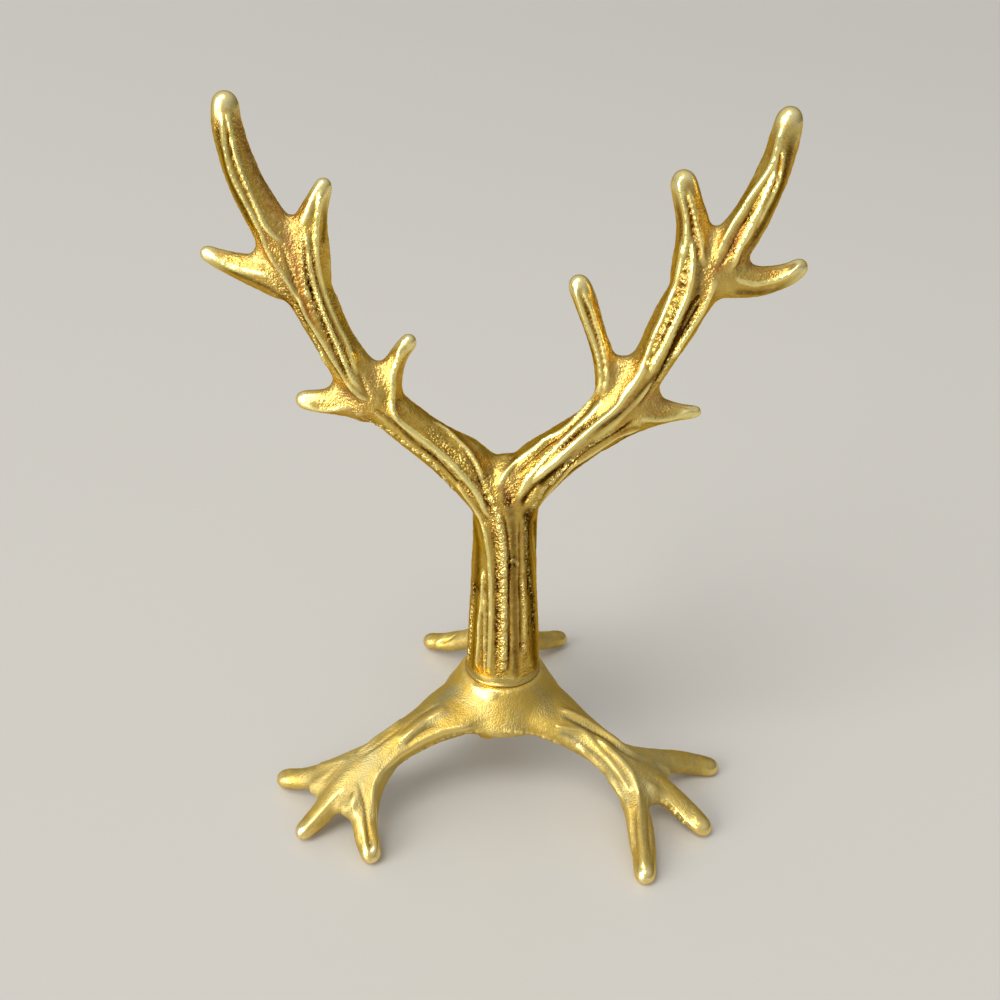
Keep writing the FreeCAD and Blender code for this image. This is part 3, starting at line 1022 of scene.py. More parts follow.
UPRIGHT_RIBS = ribs(
    # Trunk, from its left edge to its right one
    (BEADS, 0.3, 0.55, 0, 474, 591, 472, 612, 471, 628, 470, 643, 468, 664),
    (GRIT, 0.05, 0.7, 0, 474, 586, 472, 612, 471, 628, 470, 643, 468, 667),
    (RIDGE, 0.55, 0.42, 1.4, 483, 569, 483, 583, 482, 602, 480, 622, 479, 642, 477, 669),
    (RIDGE, 0.42, 0.42, 1.2, 484, 592, 485, 606, 485, 624, 485, 645, 485, 674),
    (GRIT, 0.03, 0.45, 0, 483, 580, 485, 606, 485, 624, 485, 645, 485, 674),
    (RIDGE, 0.66, 0.45, 1.5, 457, 484, 466, 495, 474, 506, 479, 514, 482, 520, 485, 529, 487, 538,
     489, 553, 490, 567, 491, 585, 491, 605, 491, 625, 490, 645, 489, 673),
    (GROOVE, 0.14, 0.6, 0, 489, 523, 493, 539, 495, 557, 496, 576, 496, 602, 496, 628, 495, 654),
    (BEADS, 0.42, 0.8, 0, 484, 479, 487, 489, 491, 500, 496, 511, 499, 522, 501, 534, 503, 548,
     504, 564, 504, 583, 504, 602, 504, 622, 504, 642, 504, 658, 502, 674),
    (GRIT, 0.1, 1.25, 0, 484, 479, 486, 489, 490, 500, 494, 511, 497, 522, 499, 534, 501, 548,
     501, 564, 501, 583, 501, 602, 501, 622, 501, 642, 501, 658, 501, 674),
    (GROOVE, 0.32, 0.32, 0, 503, 515, 506, 527, 508, 541, 509, 557, 509, 576, 509, 602, 509, 628,
     509, 654, 509, 672),
    (GROOVE, 0.16, 0.8, 0, 513, 519, 514, 539, 515, 557, 515, 583, 515, 609, 516, 635, 517, 661,
     517, 673),
    (BEADS, 0.5, 0.45, 0, 509, 564, 512, 561, 515, 561, 518, 564, 519, 568),
    (GROOVE, 0.26, 1.6, 0, 471, 520, 474, 535, 476, 552, 476, 572, 475, 592),
    (GROOVE, 0.2, 1.5, 0, 530, 516, 530, 540, 531, 570, 532, 600, 533, 640, 533, 672),
    (GROOVE, 0.3, 0.42, 0, 519, 515, 520, 530, 520, 548, 520, 571, 520, 586, 521, 609, 521, 635,
     521, 655),
    (BEADS, 0.32, 0.5, 0, 522, 578, 524, 596, 525, 616, 525, 635, 525, 655),
    (GRIT, 0.05, 0.5, 0, 522, 575, 524, 596, 525, 616, 525, 635, 525, 658),
    (GROOVE, 0.24, 0.4, 0, 528, 575, 529, 595, 530, 615, 530, 640, 531, 660),
    (BEADS, 0.32, 0.55, 0, 526, 519, 527, 544, 528, 560, 530, 576, 533, 593, 534, 608, 535, 625),
    (GRIT, 0.05, 0.6, 0, 526, 515, 527, 544, 528, 560, 530, 576, 533, 593, 534, 608, 535, 630),
    (GROOVE, 0.22, 0.37, 0, 531, 518, 533, 539, 535, 557, 537, 583),
    # Painted shade along flutes of the trunk and the darker stretches of the beams
    (DULL, 0.5, 0.95, 0, 508, 503, 512, 520, 514, 540, 514, 565, 515, 600, 516, 640, 516, 674),
    (DULL, 0.6, 1.2, 0, 471, 512, 475, 530, 477, 550, 476, 575, 474, 597),
    (DULL, 0.5, 0.55, 0, 478, 585, 476, 615, 474, 640, 473, 668),
    (DULL, 0.7, 1.6, 0, 529, 513, 529, 540, 530, 570, 532, 600, 534, 640, 536, 672),
    (DULL, 0.65, 0.65, 0, 542, 484, 555, 466, 582, 438, 610, 420, 630, 406, 645, 388, 661, 369,
     673, 348, 686, 327, 696, 307),
    (DULL, 0.75, 0.45, 0, 568, 473, 586, 461, 603, 451, 622, 440, 637, 431),
    (DULL, 0.65, 0.85, 0, 218, 130, 225, 160, 233, 186, 242, 206, 251, 224, 261, 241, 267, 254),
    (DULL, 0.65, 0.55, 0, 218, 262, 236, 273, 254, 281, 274, 291, 292, 306),
    (DULL, 0.6, 0.65, 0, 326, 186, 325, 205, 325, 222, 323, 240),
    (DULL, 0.7, 0.85, 0, 794, 132, 787, 165, 780, 190, 770, 212, 758, 233, 747, 253),
    (DULL, 0.55, 0.5, 0, 676, 196, 681, 225, 681, 253),
    (DULL, 0.6, 0.9, 0, 700, 268, 698, 288, 693, 306, 688, 320),
    (DULL, 0.6, 0.75, 0, 738, 292, 760, 293, 780, 288, 800, 276),
    (DULL, 0.6, 0.45, 0, 570, 290, 578, 312, 588, 338, 596, 362),
    (DULL, 0.6, 0.42, 0, 354, 415, 376, 429, 400, 446, 424, 463, 446, 481, 464, 501),
    # Orange stretches
    (BLUSH, 1.0, 1.2, 0, 239, 114, 244, 134, 251, 156, 260, 178, 270, 198, 279, 212),
    (BLUSH, 1.0, 0.9, 0, 289, 236, 293, 255, 298, 275, 304, 298, 312, 322),
    (BLUSH, 0.8, 1.0, 0, 331, 245, 335, 266, 341, 290, 349, 312, 358, 334, 366, 352),
    (BLUSH, 1.0, 1.3, 0, 418, 406, 432, 416, 448, 427, 462, 440, 474, 455),
    (BLUSH, 1.0, 0.8, 0, 500, 487, 506, 494, 509, 503),
    (BLUSH, 1.0, 0.5, 0, 689, 182, 693, 206, 699, 232, 703, 256),
    (BLUSH, 1.0, 0.9, 0, 742, 228, 734, 244, 726, 258, 716, 270),
    (BLUSH, 0.9, 0.8, 0, 746, 263, 756, 270, 770, 272, 786, 268),
    (BLUSH, 1.0, 0.5, 0, 593, 300, 600, 326, 605, 350, 609, 376),
    (BLUSH, 0.9, 0.9, 0, 650, 396, 666, 401, 682, 404, 696, 405),
    # Painted shade down the trunk's left and right sides
    (DULL, 0.75, 0.75, 0, 471, 522, 469, 545, 468, 570, 467, 600, 466, 640, 465, 668),
    (DULL, 0.75, 0.8, 0, 535, 522, 536, 545, 537, 570, 538, 600, 540, 640, 541, 668),
    # Gritty streaks of the fork and the beams
    (GRIT, 0.05, 1.1, 0, 430, 430, 442, 442, 455, 455, 466, 467, 476, 484),
    (GRIT, 0.04, 1.0, 0, 504, 481, 506, 488, 507, 495, 508, 502),
    (GRIT, 0.06, 0.6, 0, 364, 418, 376, 424, 390, 432, 410, 447, 430, 462, 446, 480, 464, 504),
    (GRIT, 0.04, 0.8, 0, 425, 447, 440, 458, 452, 470, 463, 483, 472, 495),
    (GRIT, 0.06, 0.65, 0, 515, 497, 519, 485, 527, 475, 540, 463, 552, 453, 566, 442, 580, 431,
     596, 418),
    (GRIT, 0.06, 0.7, 0, 530, 517, 539, 498, 550, 484, 571, 461, 582, 452, 600, 440, 620, 430),
    (GRIT, 0.06, 0.9, 0, 300, 228, 303, 250, 306, 272, 312, 296, 322, 318, 334, 340, 345, 362),
    (GRIT, 0.04, 0.5, 0, 312, 250, 313, 270, 320, 300, 330, 325, 340, 345, 350, 365),
    (GRIT, 0.06, 0.9, 0, 262, 268, 274, 280, 285, 292, 296, 308, 308, 330, 320, 352),
    (GRIT, 0.06, 0.6, 0, 762, 200, 756, 210, 750, 222, 741, 238, 733, 254),
    (GRIT, 0.06, 0.6, 0, 708, 300, 700, 312, 690, 328, 680, 345, 668, 364, 655, 382),
    (GRIT, 0.04, 0.5, 0, 689, 240, 688, 262, 684, 284, 677, 304, 668, 325, 657, 346),
    # Fork
    (RIDGE, 0.44, 0.5, 1.2, 434, 422, 446, 430, 457, 440, 466, 449, 474, 460, 479, 469, 482, 480),
    (GROOVE, 0.25, 0.33, 0, 462, 448, 471, 461, 477, 472, 480, 482, 486, 492),
    (RIDGE, 0.53, 0.95, 1.6, 518, 498, 523, 488, 527, 480, 535, 471, 544, 461, 554, 451, 565, 440,
     578, 428, 592, 414, 602, 401),
    (GROOVE, 0.25, 0.37, 0, 517, 475, 524, 465, 536, 454, 548, 444, 562, 436),
    (GROOVE, 0.38, 0.61, 0, 521, 508, 528, 495, 539, 483, 550, 475, 565, 464, 578, 453, 598, 438),
    (BEADS, 0.31, 0.63, 0, 530, 517, 532, 510, 539, 498, 544, 489, 550, 484, 561, 472, 571, 461,
     582, 452),
    (GROOVE, 0.5, 1.15, 0, 499, 472, 502, 480, 505, 487, 507, 493, 508, 500, 508, 508),
    # Left beam, lower stretch
    (RIDGE, 0.64, 0.62, 1.4, 402, 344, 398, 358, 393, 374, 392, 390, 392, 406, 398, 420, 410, 430,
     424, 440, 436, 450, 449, 461, 458, 470, 470, 484, 479, 497, 484, 508, 490, 518),
    (GROOVE, 0.35, 0.4, 0, 374, 408, 394, 423, 414, 442, 436, 460, 450, 475, 462, 489, 472, 502,
     481, 516),
    (TEETH, 0.34, 0.6, 0, 364, 418, 376, 424, 390, 432, 410, 447, 430, 462, 446, 480, 456, 492,
     464, 504),
    (GROOVE, 0.25, 0.4, 0, 358, 370, 364, 386, 370, 402),
    (RIDGE, 0.34, 0.45, 1.2, 300, 405, 324, 410, 350, 407),
    # Left beam, upper stretch
    (RIDGE, 0.56, 0.45, 1.2, 306, 234, 308, 254, 311, 272, 316, 290, 322, 308, 329, 326, 337, 344,
     344, 360, 351, 376, 359, 390),
    (GROOVE, 0.22, 0.26, 0, 304, 236, 306, 266, 310, 286, 318, 310, 328, 334, 338, 358, 350, 386),
    (BEADS, 0.29, 0.6, 0, 300, 228, 302, 250, 303, 270, 306, 290, 312, 312, 320, 330),
    (RIDGE, 0.5, 0.45, 1.2, 322, 189, 319, 206, 317, 220, 316, 237, 316, 251, 318, 268, 323, 289,
     330, 308, 338, 326, 346, 342, 352, 358, 356, 373),
    (GROOVE, 0.3, 0.37, 0, 294, 296, 303, 316, 312, 331, 323, 348, 333, 366, 345, 384),
    (BEADS, 0.39, 0.6, 0, 270, 256, 280, 274, 290, 288, 298, 304, 308, 322, 316, 340, 324, 358,
     332, 378),
    (RIDGE, 0.58, 0.45, 1.2, 222, 113, 224, 137, 227, 154, 232, 173, 239, 189, 248, 206, 256, 221,
     262, 234, 266, 246, 274, 261, 281, 271, 289, 283, 298, 297, 305, 312, 311, 323, 320, 338,
     330, 354, 340, 370, 350, 386, 360, 396, 368, 400),
    (RIDGE, 0.46, 0.45, 1.2, 227, 111, 231, 134, 235, 153, 241, 171, 248, 189, 256, 207, 264, 224,
     272, 234, 281, 241),
    (GROOVE, 0.16, 0.22, 0, 225, 117, 228, 137, 231, 153, 237, 169, 244, 186, 254, 206, 261, 221),
    (GROOVE, 0.28, 0.33, 0, 281, 243, 284, 252, 288, 266, 295, 286, 301, 306),
    (RIDGE, 0.34, 0.95, 1.6, 318, 186, 312, 199, 307, 214, 301, 226),
    (RIDGE, 0.44, 0.45, 1.2, 206, 251, 216, 259, 231, 267, 245, 271, 258, 273, 272, 277),
    # Right beam, lower stretch
    (RIDGE, 0.56, 0.62, 1.4, 575, 286, 580, 304, 586, 320, 592, 336, 598, 352, 601, 368, 601, 383,
     596, 396, 586, 408, 572, 423, 560, 433, 548, 439, 534, 449, 523, 457, 513, 466, 506, 473,
     502, 480, 500, 489),
    (RIDGE, 0.46, 0.45, 1.2, 582, 289, 590, 306, 596, 324, 602, 344, 606, 364, 607, 380, 603, 393),
    (GROOVE, 0.25, 0.3, 0, 578, 287, 585, 305, 591, 322, 597, 340, 602, 360, 604, 376),
    (GROOVE, 0.28, 0.4, 0, 622, 396, 608, 410, 592, 423, 576, 436, 560, 450),
    (RIDGE, 0.65, 0.95, 1.6, 530, 484, 538, 475, 548, 467, 560, 457, 578, 440, 596, 424, 614, 408,
     626, 393, 638, 377, 646, 359, 654, 338, 662, 320, 669, 304, 676, 287, 680, 270, 683, 252,
     684, 238),
    (RIDGE, 0.8, 0.95, 2.5, 532, 483, 539, 475, 549, 467, 561, 457, 579, 440, 597, 424, 615, 408,
     627, 393, 639, 377, 647, 359),
    (BEADS, 0.62, 1.1, 1.3, 643, 377, 651, 360, 660, 341, 668, 323, 675, 307, 682, 290, 686, 271,
     688, 252),
    (GROOVE, 0.12, 0.26, 0, 651, 364, 660, 346, 669, 326, 676, 308, 682, 290, 686, 270, 688, 252,
     688, 240),
    (RIDGE, 0.59, 0.62, 1.4, 648, 376, 656, 360, 665, 344, 673, 327, 681, 310, 688, 293, 692, 272,
     693, 252, 692, 238),
    (GROOVE, 0.35, 0.4, 0, 640, 405, 656, 382, 665, 364, 673, 348, 681, 328, 689, 310, 701, 293),
    (RIDGE, 0.58, 0.62, 1.4, 672, 360, 680, 345, 690, 330, 700, 314, 708, 298, 714, 284, 717, 277),
    (GROOVE, 0.3, 0.33, 0, 664, 366, 675, 348, 684, 330, 694, 314, 703, 298),
    (GROOVE, 0.38, 0.4, 0, 638, 407, 646, 398, 660, 381),
    (RIDGE, 0.34, 0.45, 1.2, 640, 419, 660, 420, 680, 416, 698, 406),
    (RIDGE, 0.3, 0.38, 0.9, 538, 506, 549, 492, 559, 481, 571, 468, 586, 458, 604, 446, 620, 436,
     640, 429),
    (GROOVE, 0.33, 0.37, 0, 560, 478, 572, 464, 586, 452, 610, 437, 628, 425, 637, 417),
    (RIDGE, 0.26, 0.95, 1.6, 566, 463, 580, 450, 600, 434, 620, 418, 636, 402, 650, 386),
    # Right beam, upper stretch
    (RIDGE, 0.65, 0.62, 1.4, 784, 124, 779, 142, 774, 162, 764, 179, 752, 196, 744, 209, 735, 222,
     726, 238, 718, 254),
    (RIDGE, 0.56, 0.62, 1.4, 776, 159, 774, 175, 769, 188, 761, 206, 754, 220, 748, 234, 739, 249,
     734, 264, 729, 271),
    (RIDGE, 0.39, 0.38, 0.9, 784, 142, 782, 159, 778, 181, 771, 198, 764, 211, 757, 226),
    (GROOVE, 0.25, 0.28, 0, 781, 149, 779, 166, 775, 182, 768, 196, 761, 211),
    (GROOVE, 0.3, 0.4, 0, 755, 204, 748, 216, 739, 231, 731, 249, 722, 264, 715, 271),
    (RIDGE, 0.56, 0.62, 1.4, 678, 176, 682, 195, 686, 212, 687, 231, 686, 249, 683, 264),
    (RIDGE, 0.5, 0.45, 1.2, 688, 188, 692, 206, 696, 224, 701, 239, 702, 252, 704, 264),
    (GROOVE, 0.28, 0.3, 0, 684, 192, 689, 209, 692, 224, 694, 238, 698, 252, 699, 264),
    (RIDGE, 0.4, 0.38, 0.9, 804, 259, 796, 269, 784, 277, 769, 282, 755, 284, 741, 281, 736, 278),
)

BASE_RIBS = ribs(
    # Left leg
    (RIDGE, 0.4, 1.0, 1.7, 447, 707, 434, 715, 423, 722, 411, 732, 400, 742),
    (GROOVE, 0.16, 0.4, 0, 441, 722, 427, 728, 416, 736, 405, 747),
    (GROOVE, 0.14, 0.4, 0, 440, 704, 424, 713, 412, 722, 398, 735),
    (RIDGE, 0.38, 0.7, 1.5, 403, 718, 393, 727, 379, 736, 367, 746, 356, 752),
    (GROOVE, 0.18, 0.4, 0, 405, 724, 396, 732, 383, 741, 371, 750, 359, 757),
    (RIDGE, 0.4, 1.0, 1.7, 473, 727, 450, 730, 428, 738, 411, 748, 399, 755, 388, 765, 379, 775,
     373, 793, 375, 824, 376, 855),
    (TEETH, 0.31, 0.45, 0, 484, 732, 466, 732, 450, 736, 438, 741, 427, 747, 412, 755, 400, 763),
    (GROOVE, 0.28, 0.37, 0, 357, 778, 361, 792, 365, 808, 368, 832, 371, 853),
    (RIDGE, 0.22, 1.0, 1.7, 351, 793, 357, 816, 363, 839, 368, 858),
    (RIDGE, 0.28, 1.0, 1.7, 342, 790, 330, 802, 316, 818, 303, 833),
    (RIDGE, 0.22, 1.0, 1.7, 348, 758, 327, 763, 303, 766, 285, 771),
    (GROOVE, 0.22, 0.66, 0, 338, 768, 328, 776, 321, 784),
    (GROOVE, 0.22, 0.66, 0, 352, 788, 348, 798, 345, 808),
    # Right leg
    (RIDGE, 0.51, 0.7, 1.5, 558, 708, 574, 715, 588, 722, 605, 733, 620, 744, 634, 753, 646, 759,
     653, 761),
    (GROOVE, 0.26, 0.4, 0, 563, 716, 583, 726, 605, 738, 623, 751, 642, 762),
    (RIDGE, 0.3, 0.75, 1.3, 555, 726, 569, 729, 583, 732, 595, 744, 608, 758, 617, 770, 625, 782,
     631, 790),
    (GROOVE, 0.26, 0.35, 0, 562, 733, 577, 740, 592, 752, 606, 766, 615, 780, 623, 793, 628, 804),
    (RIDGE, 0.45, 1.0, 1.7, 577, 744, 589, 756, 602, 769, 612, 783, 622, 796, 628, 812, 631, 836,
     633, 861),
    (RIDGE, 0.49, 0.7, 1.5, 595, 736, 608, 748, 620, 759, 631, 772, 637, 787, 639, 804, 639, 824,
     642, 847, 643, 868),
    (GROOVE, 0.16, 0.35, 0, 635, 808, 636, 832, 638, 855),
    (GROOVE, 0.18, 0.37, 0, 646, 790, 648, 812, 649, 836, 651, 856),
    (RIDGE, 0.28, 1.0, 1.7, 646, 781, 662, 793, 677, 809, 689, 823, 700, 832),
    (TEETH, 0.6, 0.5, 0, 656, 798, 665, 803, 674, 811, 683, 820, 691, 829),
    (GROOVE, 0.24, 0.66, 0, 655, 764, 663, 770, 671, 778),
    (GROOVE, 0.22, 0.66, 0, 645, 784, 650, 796, 653, 806),
    # Olive stretches
    (BLUSH, 1.0, 0.8, 0, 447, 712, 434, 719, 421, 727, 410, 737, 400, 748),
    (BLUSH, 0.9, 1.8, 0, 452, 690, 444, 698, 436, 706),
    (BLUSH, 0.8, 1.2, 0, 372, 752, 366, 766, 360, 782, 356, 798),
    (BLUSH, 1.0, 0.7, 0, 562, 733, 577, 740, 592, 752, 606, 766, 615, 780, 623, 793, 628, 804),
    (BLUSH, 1.0, 0.6, 0, 563, 716, 583, 726, 605, 738, 623, 751, 642, 762),
    (BLUSH, 0.8, 0.9, 0, 655, 764, 663, 770, 671, 778),
    (BLUSH, 0.8, 0.9, 0, 645, 784, 650, 796, 653, 806),
    # Parting line under the front
    (TEETH, 0.31, 0.45, 0, 502, 731, 516, 732, 530, 733, 544, 737, 556, 742, 566, 748, 578, 758,
     592, 770),
)

def dress(piece: bpy.types.Object, finish: bpy.types.Material) -> bpy.types.Object:
    """Give a piece its only material.

    Args:
        piece: The piece.
        finish: The material.

    Returns:
        The piece.
    """
    piece.data.materials.clear()
    piece.data.materials.append(finish)
    return piece


@dataclass
class Casting:
    """What the two castings share: one welded skin that is worked and aged.

    Attributes:
        name: The piece's name.
        voxel: The size of its faces, in millimetres.
        tip_reach: How far from its tips it is polished, in millimetres.
        thin_reach: How far from the middle of the forks the painted pale reflection and rougher
            finish go.
        lumps: Rows of size, height and seed of its uneven skin.
        fillet: How far its inner corners are filled, in millimetres.
        thin_strength: How strong that look is in the middle.
        repeat: How high the lines are where they are repeated out of the photograph's sight.
        rounds: How widely the two measures of what stands out look, for the finish's painted
            highlights and shade.
    """

    name: str
    voxel: float
    tip_reach: float
    thin_reach: float
    lumps: Rows
    fillet: float = 0.8
    thin_strength: float = 1.8
    repeat: float = 0.9
    rounds: tuple[tuple[str, int], ...] = (("height", 10), ("depth", 45))

    def true_up(self, skin: Surface) -> None:
        """Machine the worked skin, where the casting needs it."""

    def age(self, skin: Surface, tips: list[Vector], webs: np.ndarray) -> None:
        """Polish the tips, roughen the rest, move the mesh and measure what stands out.

        Args:
            skin: The casting's surface, with its lines laid.
            tips: Where the tips are, in metres.
            webs: How far each vertex is on the thin metal of the forks, from 0 to 1.
        """
        skin.polish(tips, self.tip_reach)
        skin.keep("web", webs)
        for lumps in self.lumps:
            skin.roughen(*lumps)
        skin.settle()
        self.true_up(skin)
        for name, rounds in self.rounds:
            skin.mark_height(name, rounds)


@dataclass
class AntlerUpright(Casting):
    """The forked casting: a trunk, two beams and eight tines.

    Attributes:
        face: The direction that the flat limbs face.
        hole: The rows of height and radius of the hole for the screw.
        lip: The rows of height and radius of the lip at its foot.
        hole_sides: How many corners the hole's circles have.
        lip_shade_depth: How deep the finish takes the lip to lie, in millimetres, which gives it
            painted shade.
        far_shift: How far lines are shifted on the far side, and the turn from line to line.
        fork: Where the two beams part, on both sides.
        fork_reach: How far from there the painted pale reflection and rougher finish go, and how
            strong they are.
        trunk: Rows of x, height, width and depth.
        beams: The same for the two beams.
        tines: The same for the tines.
        webs: The same for what fills the corners between tines and beams, and last a ledge.
    """

    name: str = "antler_upright_casting"
    voxel: float = 0.285
    tip_reach: float = 6.0
    thin_reach: float = 4.2
    lumps: Rows = ((2.4, 0.09, 3.0), (0.75, 0.06, 8.0))
    far_shift: Pair = (0.5, 2.1)
    fork_reach: Pair = (3.6, 0.7)
    hole_sides: int = 48
    face: tuple[float, float, float] = (0.0, 1.0, 0.0)
    hole: Rows = ((20.0, 2.05), (32.1, 2.05), (33.3, 0.02))
    lip: Rows = (
        (21.3, 6.5), (21.35, 6.65), (21.45, 6.72), (21.68, 6.72), (21.8, 6.62), (21.88, 6.42),
        (21.96, 6.3), (22.7, 6.25), (23.4, 5.9),
    )
    lip_shade_depth: float = -0.20
    fork: Rows = ((-0.2, -3.6, 61.0), (-0.2, -3.6, 62.4), (-0.2, 3.6, 61.0), (-0.2, 3.6, 62.4))
    trunk: Rows = (
        (0.0, 22.15, 13.1, 12.6), (0.0, 28.0, 12.7, 12.2), (-0.1, 34.0, 12.0, 11.7),
        (-0.2, 40.0, 11.4, 11.2), (-0.2, 46.0, 11.0, 10.9), (-0.2, 52.0, 10.9, 10.6),
        (-0.2, 57.0, 11.2, 10.2), (-0.3, 60.8, 8.8, 8.4), (-0.3, 63.3, 4.8, 4.8),
    )
    beams: tuple[Rows, ...] = (
        ((-2.4, 46.0, 4.2, 6.8), (-2.8, 52.5, 4.6, 8.3), (-6.0, 60.4, 8.8, 9.4),
        (-12.0, 65.0, 6.9, 8.0), (-18.7, 70.5, 6.5, 7.0), (-24.0, 76.4, 6.7, 6.6),
        (-27.8, 83.0, 6.2, 6.4), (-30.5, 89.0, 7.2, 6.3), (-33.1, 94.3, 7.1, 6.1),
        (-36.0, 99.7, 6.0, 5.4), (-38.9, 105.4, 5.3, 4.9), (-40.6, 111.0, 4.7, 4.4),
        (-41.2, 115.2, 4.3, 3.9), (-40.8, 118.6, 3.4, 3.4)), ((2.0, 46.0, 4.2, 6.8),
        (2.1, 52.5, 4.6, 8.3), (4.0, 59.8, 8.8, 9.4), (8.7, 64.3, 7.9, 8.2),
        (14.3, 69.0, 7.3, 7.2), (18.9, 74.9, 7.1, 6.8), (22.2, 80.4, 6.2, 6.6),
        (24.8, 86.1, 7.3, 6.5), (27.5, 91.6, 7.3, 6.2), (30.3, 95.9, 7.0, 5.9),
        (33.4, 100.3, 6.0, 5.4), (35.9, 105.6, 5.2, 4.9), (37.6, 111.2, 4.6, 4.4),
        (38.2, 115.3, 4.2, 3.9), (38.5, 118.3, 3.4, 3.4)),
    )
    tines: tuple[Rows, ...] = (
        ((-20.0, 71.6, 6.0, 5.5), (-23.2, 72.0, 6.6, 6.2), (-26.0, 72.0, 5.0, 4.7),
        (-29.2, 71.9, 4.1, 3.8), (-32.0, 72.0, 3.4, 3.1), (-34.2, 72.3, 2.7, 2.5)),
        ((-20.5, 72.5, 6.0, 5.5), (-19.8, 75.0, 6.0, 5.7), (-18.6, 77.6, 3.9, 3.6),
        (-17.2, 80.4, 3.0, 2.8), (-15.7, 82.3, 2.8, 2.6), (-14.8, 83.1, 2.4, 2.2)),
        ((-31.8, 91.0, 6.6, 5.5), (-35.4, 92.2, 6.9, 6.0), (-38.4, 92.7, 5.2, 4.7),
        (-41.2, 93.5, 4.1, 3.8), (-44.1, 94.5, 3.1, 2.9), (-46.9, 95.9, 2.3, 2.1)),
        ((-30.6, 90.6, 6.4, 5.5), (-30.6, 95.2, 6.6, 5.9), (-30.3, 99.3, 5.6, 5.1),
        (-29.2, 102.6, 3.9, 3.6), (-28.1, 105.0, 3.0, 2.8), (-27.3, 106.9, 2.3, 2.1)),
        ((16.8, 72.0, 6.0, 5.5), (16.1, 75.4, 5.4, 5.2), (15.0, 79.0, 3.9, 3.7),
        (13.5, 83.2, 3.2, 3.0), (12.1, 87.1, 3.4, 3.2), (10.7, 90.6, 3.7, 3.4),
        (9.3, 93.4, 3.1, 2.9)), ((17.0, 72.1, 6.0, 5.5), (20.3, 71.6, 6.3, 6.2),
        (23.4, 71.6, 4.7, 4.7), (26.2, 71.6, 3.2, 3.2), (28.6, 71.6, 2.4, 2.4),
        (30.7, 71.9, 1.9, 1.8)), ((27.4, 90.0, 6.0, 5.5), (26.9, 94.0, 6.5, 6.1),
        (26.7, 97.8, 5.8, 5.3), (26.3, 101.3, 5.0, 4.6), (25.2, 104.7, 4.3, 4.0),
        (24.3, 107.4, 4.0, 3.7), (23.4, 109.1, 3.1, 2.9)), ((28.2, 92.6, 6.0, 5.5),
        (31.6, 93.6, 6.2, 5.8), (34.9, 93.1, 5.2, 4.9), (38.0, 93.3, 4.3, 4.0),
        (41.3, 94.3, 3.5, 3.2), (43.8, 96.3, 2.6, 2.4)),
    )
    webs: tuple[Rows, ...] = (
        ((-32.4, 94.0, 8.0, 4.2), (-32.7, 97.6, 6.4, 3.7), (-33.0, 101.2, 3.2, 3.1)),
        ((-33.8, 92.8, 6.0, 4.4), (-36.4, 95.0, 4.6, 3.7), (-38.4, 96.7, 2.2, 2.9)),
        ((-22.0, 74.3, 8.0, 4.6), (-21.3, 76.8, 5.4, 3.9), (-20.9, 78.8, 2.6, 3.1)),
        ((-24.4, 72.4, 6.0, 4.6), (-26.7, 74.0, 4.6, 3.9), (-28.3, 75.0, 2.2, 2.9)),
        ((28.0, 94.5, 8.0, 4.2), (28.9, 98.0, 6.4, 3.7), (29.6, 101.0, 3.2, 3.1)),
        ((30.2, 93.6, 6.0, 4.4), (32.9, 95.4, 4.8, 3.7), (35.2, 96.6, 2.2, 2.9)),
        ((17.6, 74.3, 7.5, 4.6), (17.6, 77.8, 5.0, 3.9), (17.6, 80.8, 2.4, 3.1)),
        ((19.8, 72.8, 6.0, 4.6), (22.2, 74.1, 4.6, 3.9), (24.0, 74.9, 2.2, 2.9)),
        ((22.6, 70.6, 3.0, 3.4), (19.7, 69.3, 3.4, 3.6), (17.1, 67.7, 3.3, 3.8),
        (14.0, 65.3, 3.0, 4.0)),
    )

    def build(self, view: Viewpoint, finish: bpy.types.Material) -> bpy.types.Object:
        """Make the upright, lay its lines and dress it.

        Args:
            view: The photograph's viewpoint.
            finish: The material.

        Returns:
            The finished piece.
        """
        limbs = []
        for i, rows in enumerate((self.trunk, *self.beams, *self.tines, *self.webs)):
            full = tuple((x, 0.0, z, width, depth) for x, z, width, depth in rows)
            limbs.append(Limb(full, self.face).build(f"upright_limb_{i}"))
        piece = weld(limbs, self.name, self.fillet, self.voxel)
        skin = Surface(piece)
        shift, turn = self.far_shift
        for i, rib in enumerate(UPRIGHT_RIBS):
            front = skin.on_front(rib.trace, view)
            skin.lay(rib, front)
            skin.lay(rib, skin.on_back(front, shift * math.sin(turn * i)), self.repeat, True)
        tips = [spot(rows[-1][0], 0.0, rows[-1][1]) for rows in (*self.beams, *self.tines)]
        thin = [spot(x, 0.0, z) for rows in self.webs[:-1] for x, z in midway(rows, 2)]
        webs = skin.near(thin, self.thin_reach, self.thin_strength)
        fork = skin.near([spot(*place) for place in self.fork], *self.fork_reach)
        self.age(skin, tips, np.maximum(webs, fork))
        lip = Turning(self.lip).build("foot_lip")
        turned = Surface(lip)
        # The lip counts as a smooth crest, for its painted highlight, and as lying deep, for
        # painted shade
        turned.keep("crest", np.ones(len(turned.places)))
        turned.keep("depth", np.full(len(turned.places), self.lip_shade_depth))
        for part in (piece, lip):
            drill(part, Turning(self.hole, sides=self.hole_sides).build("tap_drill"))
        only(piece)
        lip.select_set(True)
        bpy.ops.object.join()
        return dress(piece, finish)


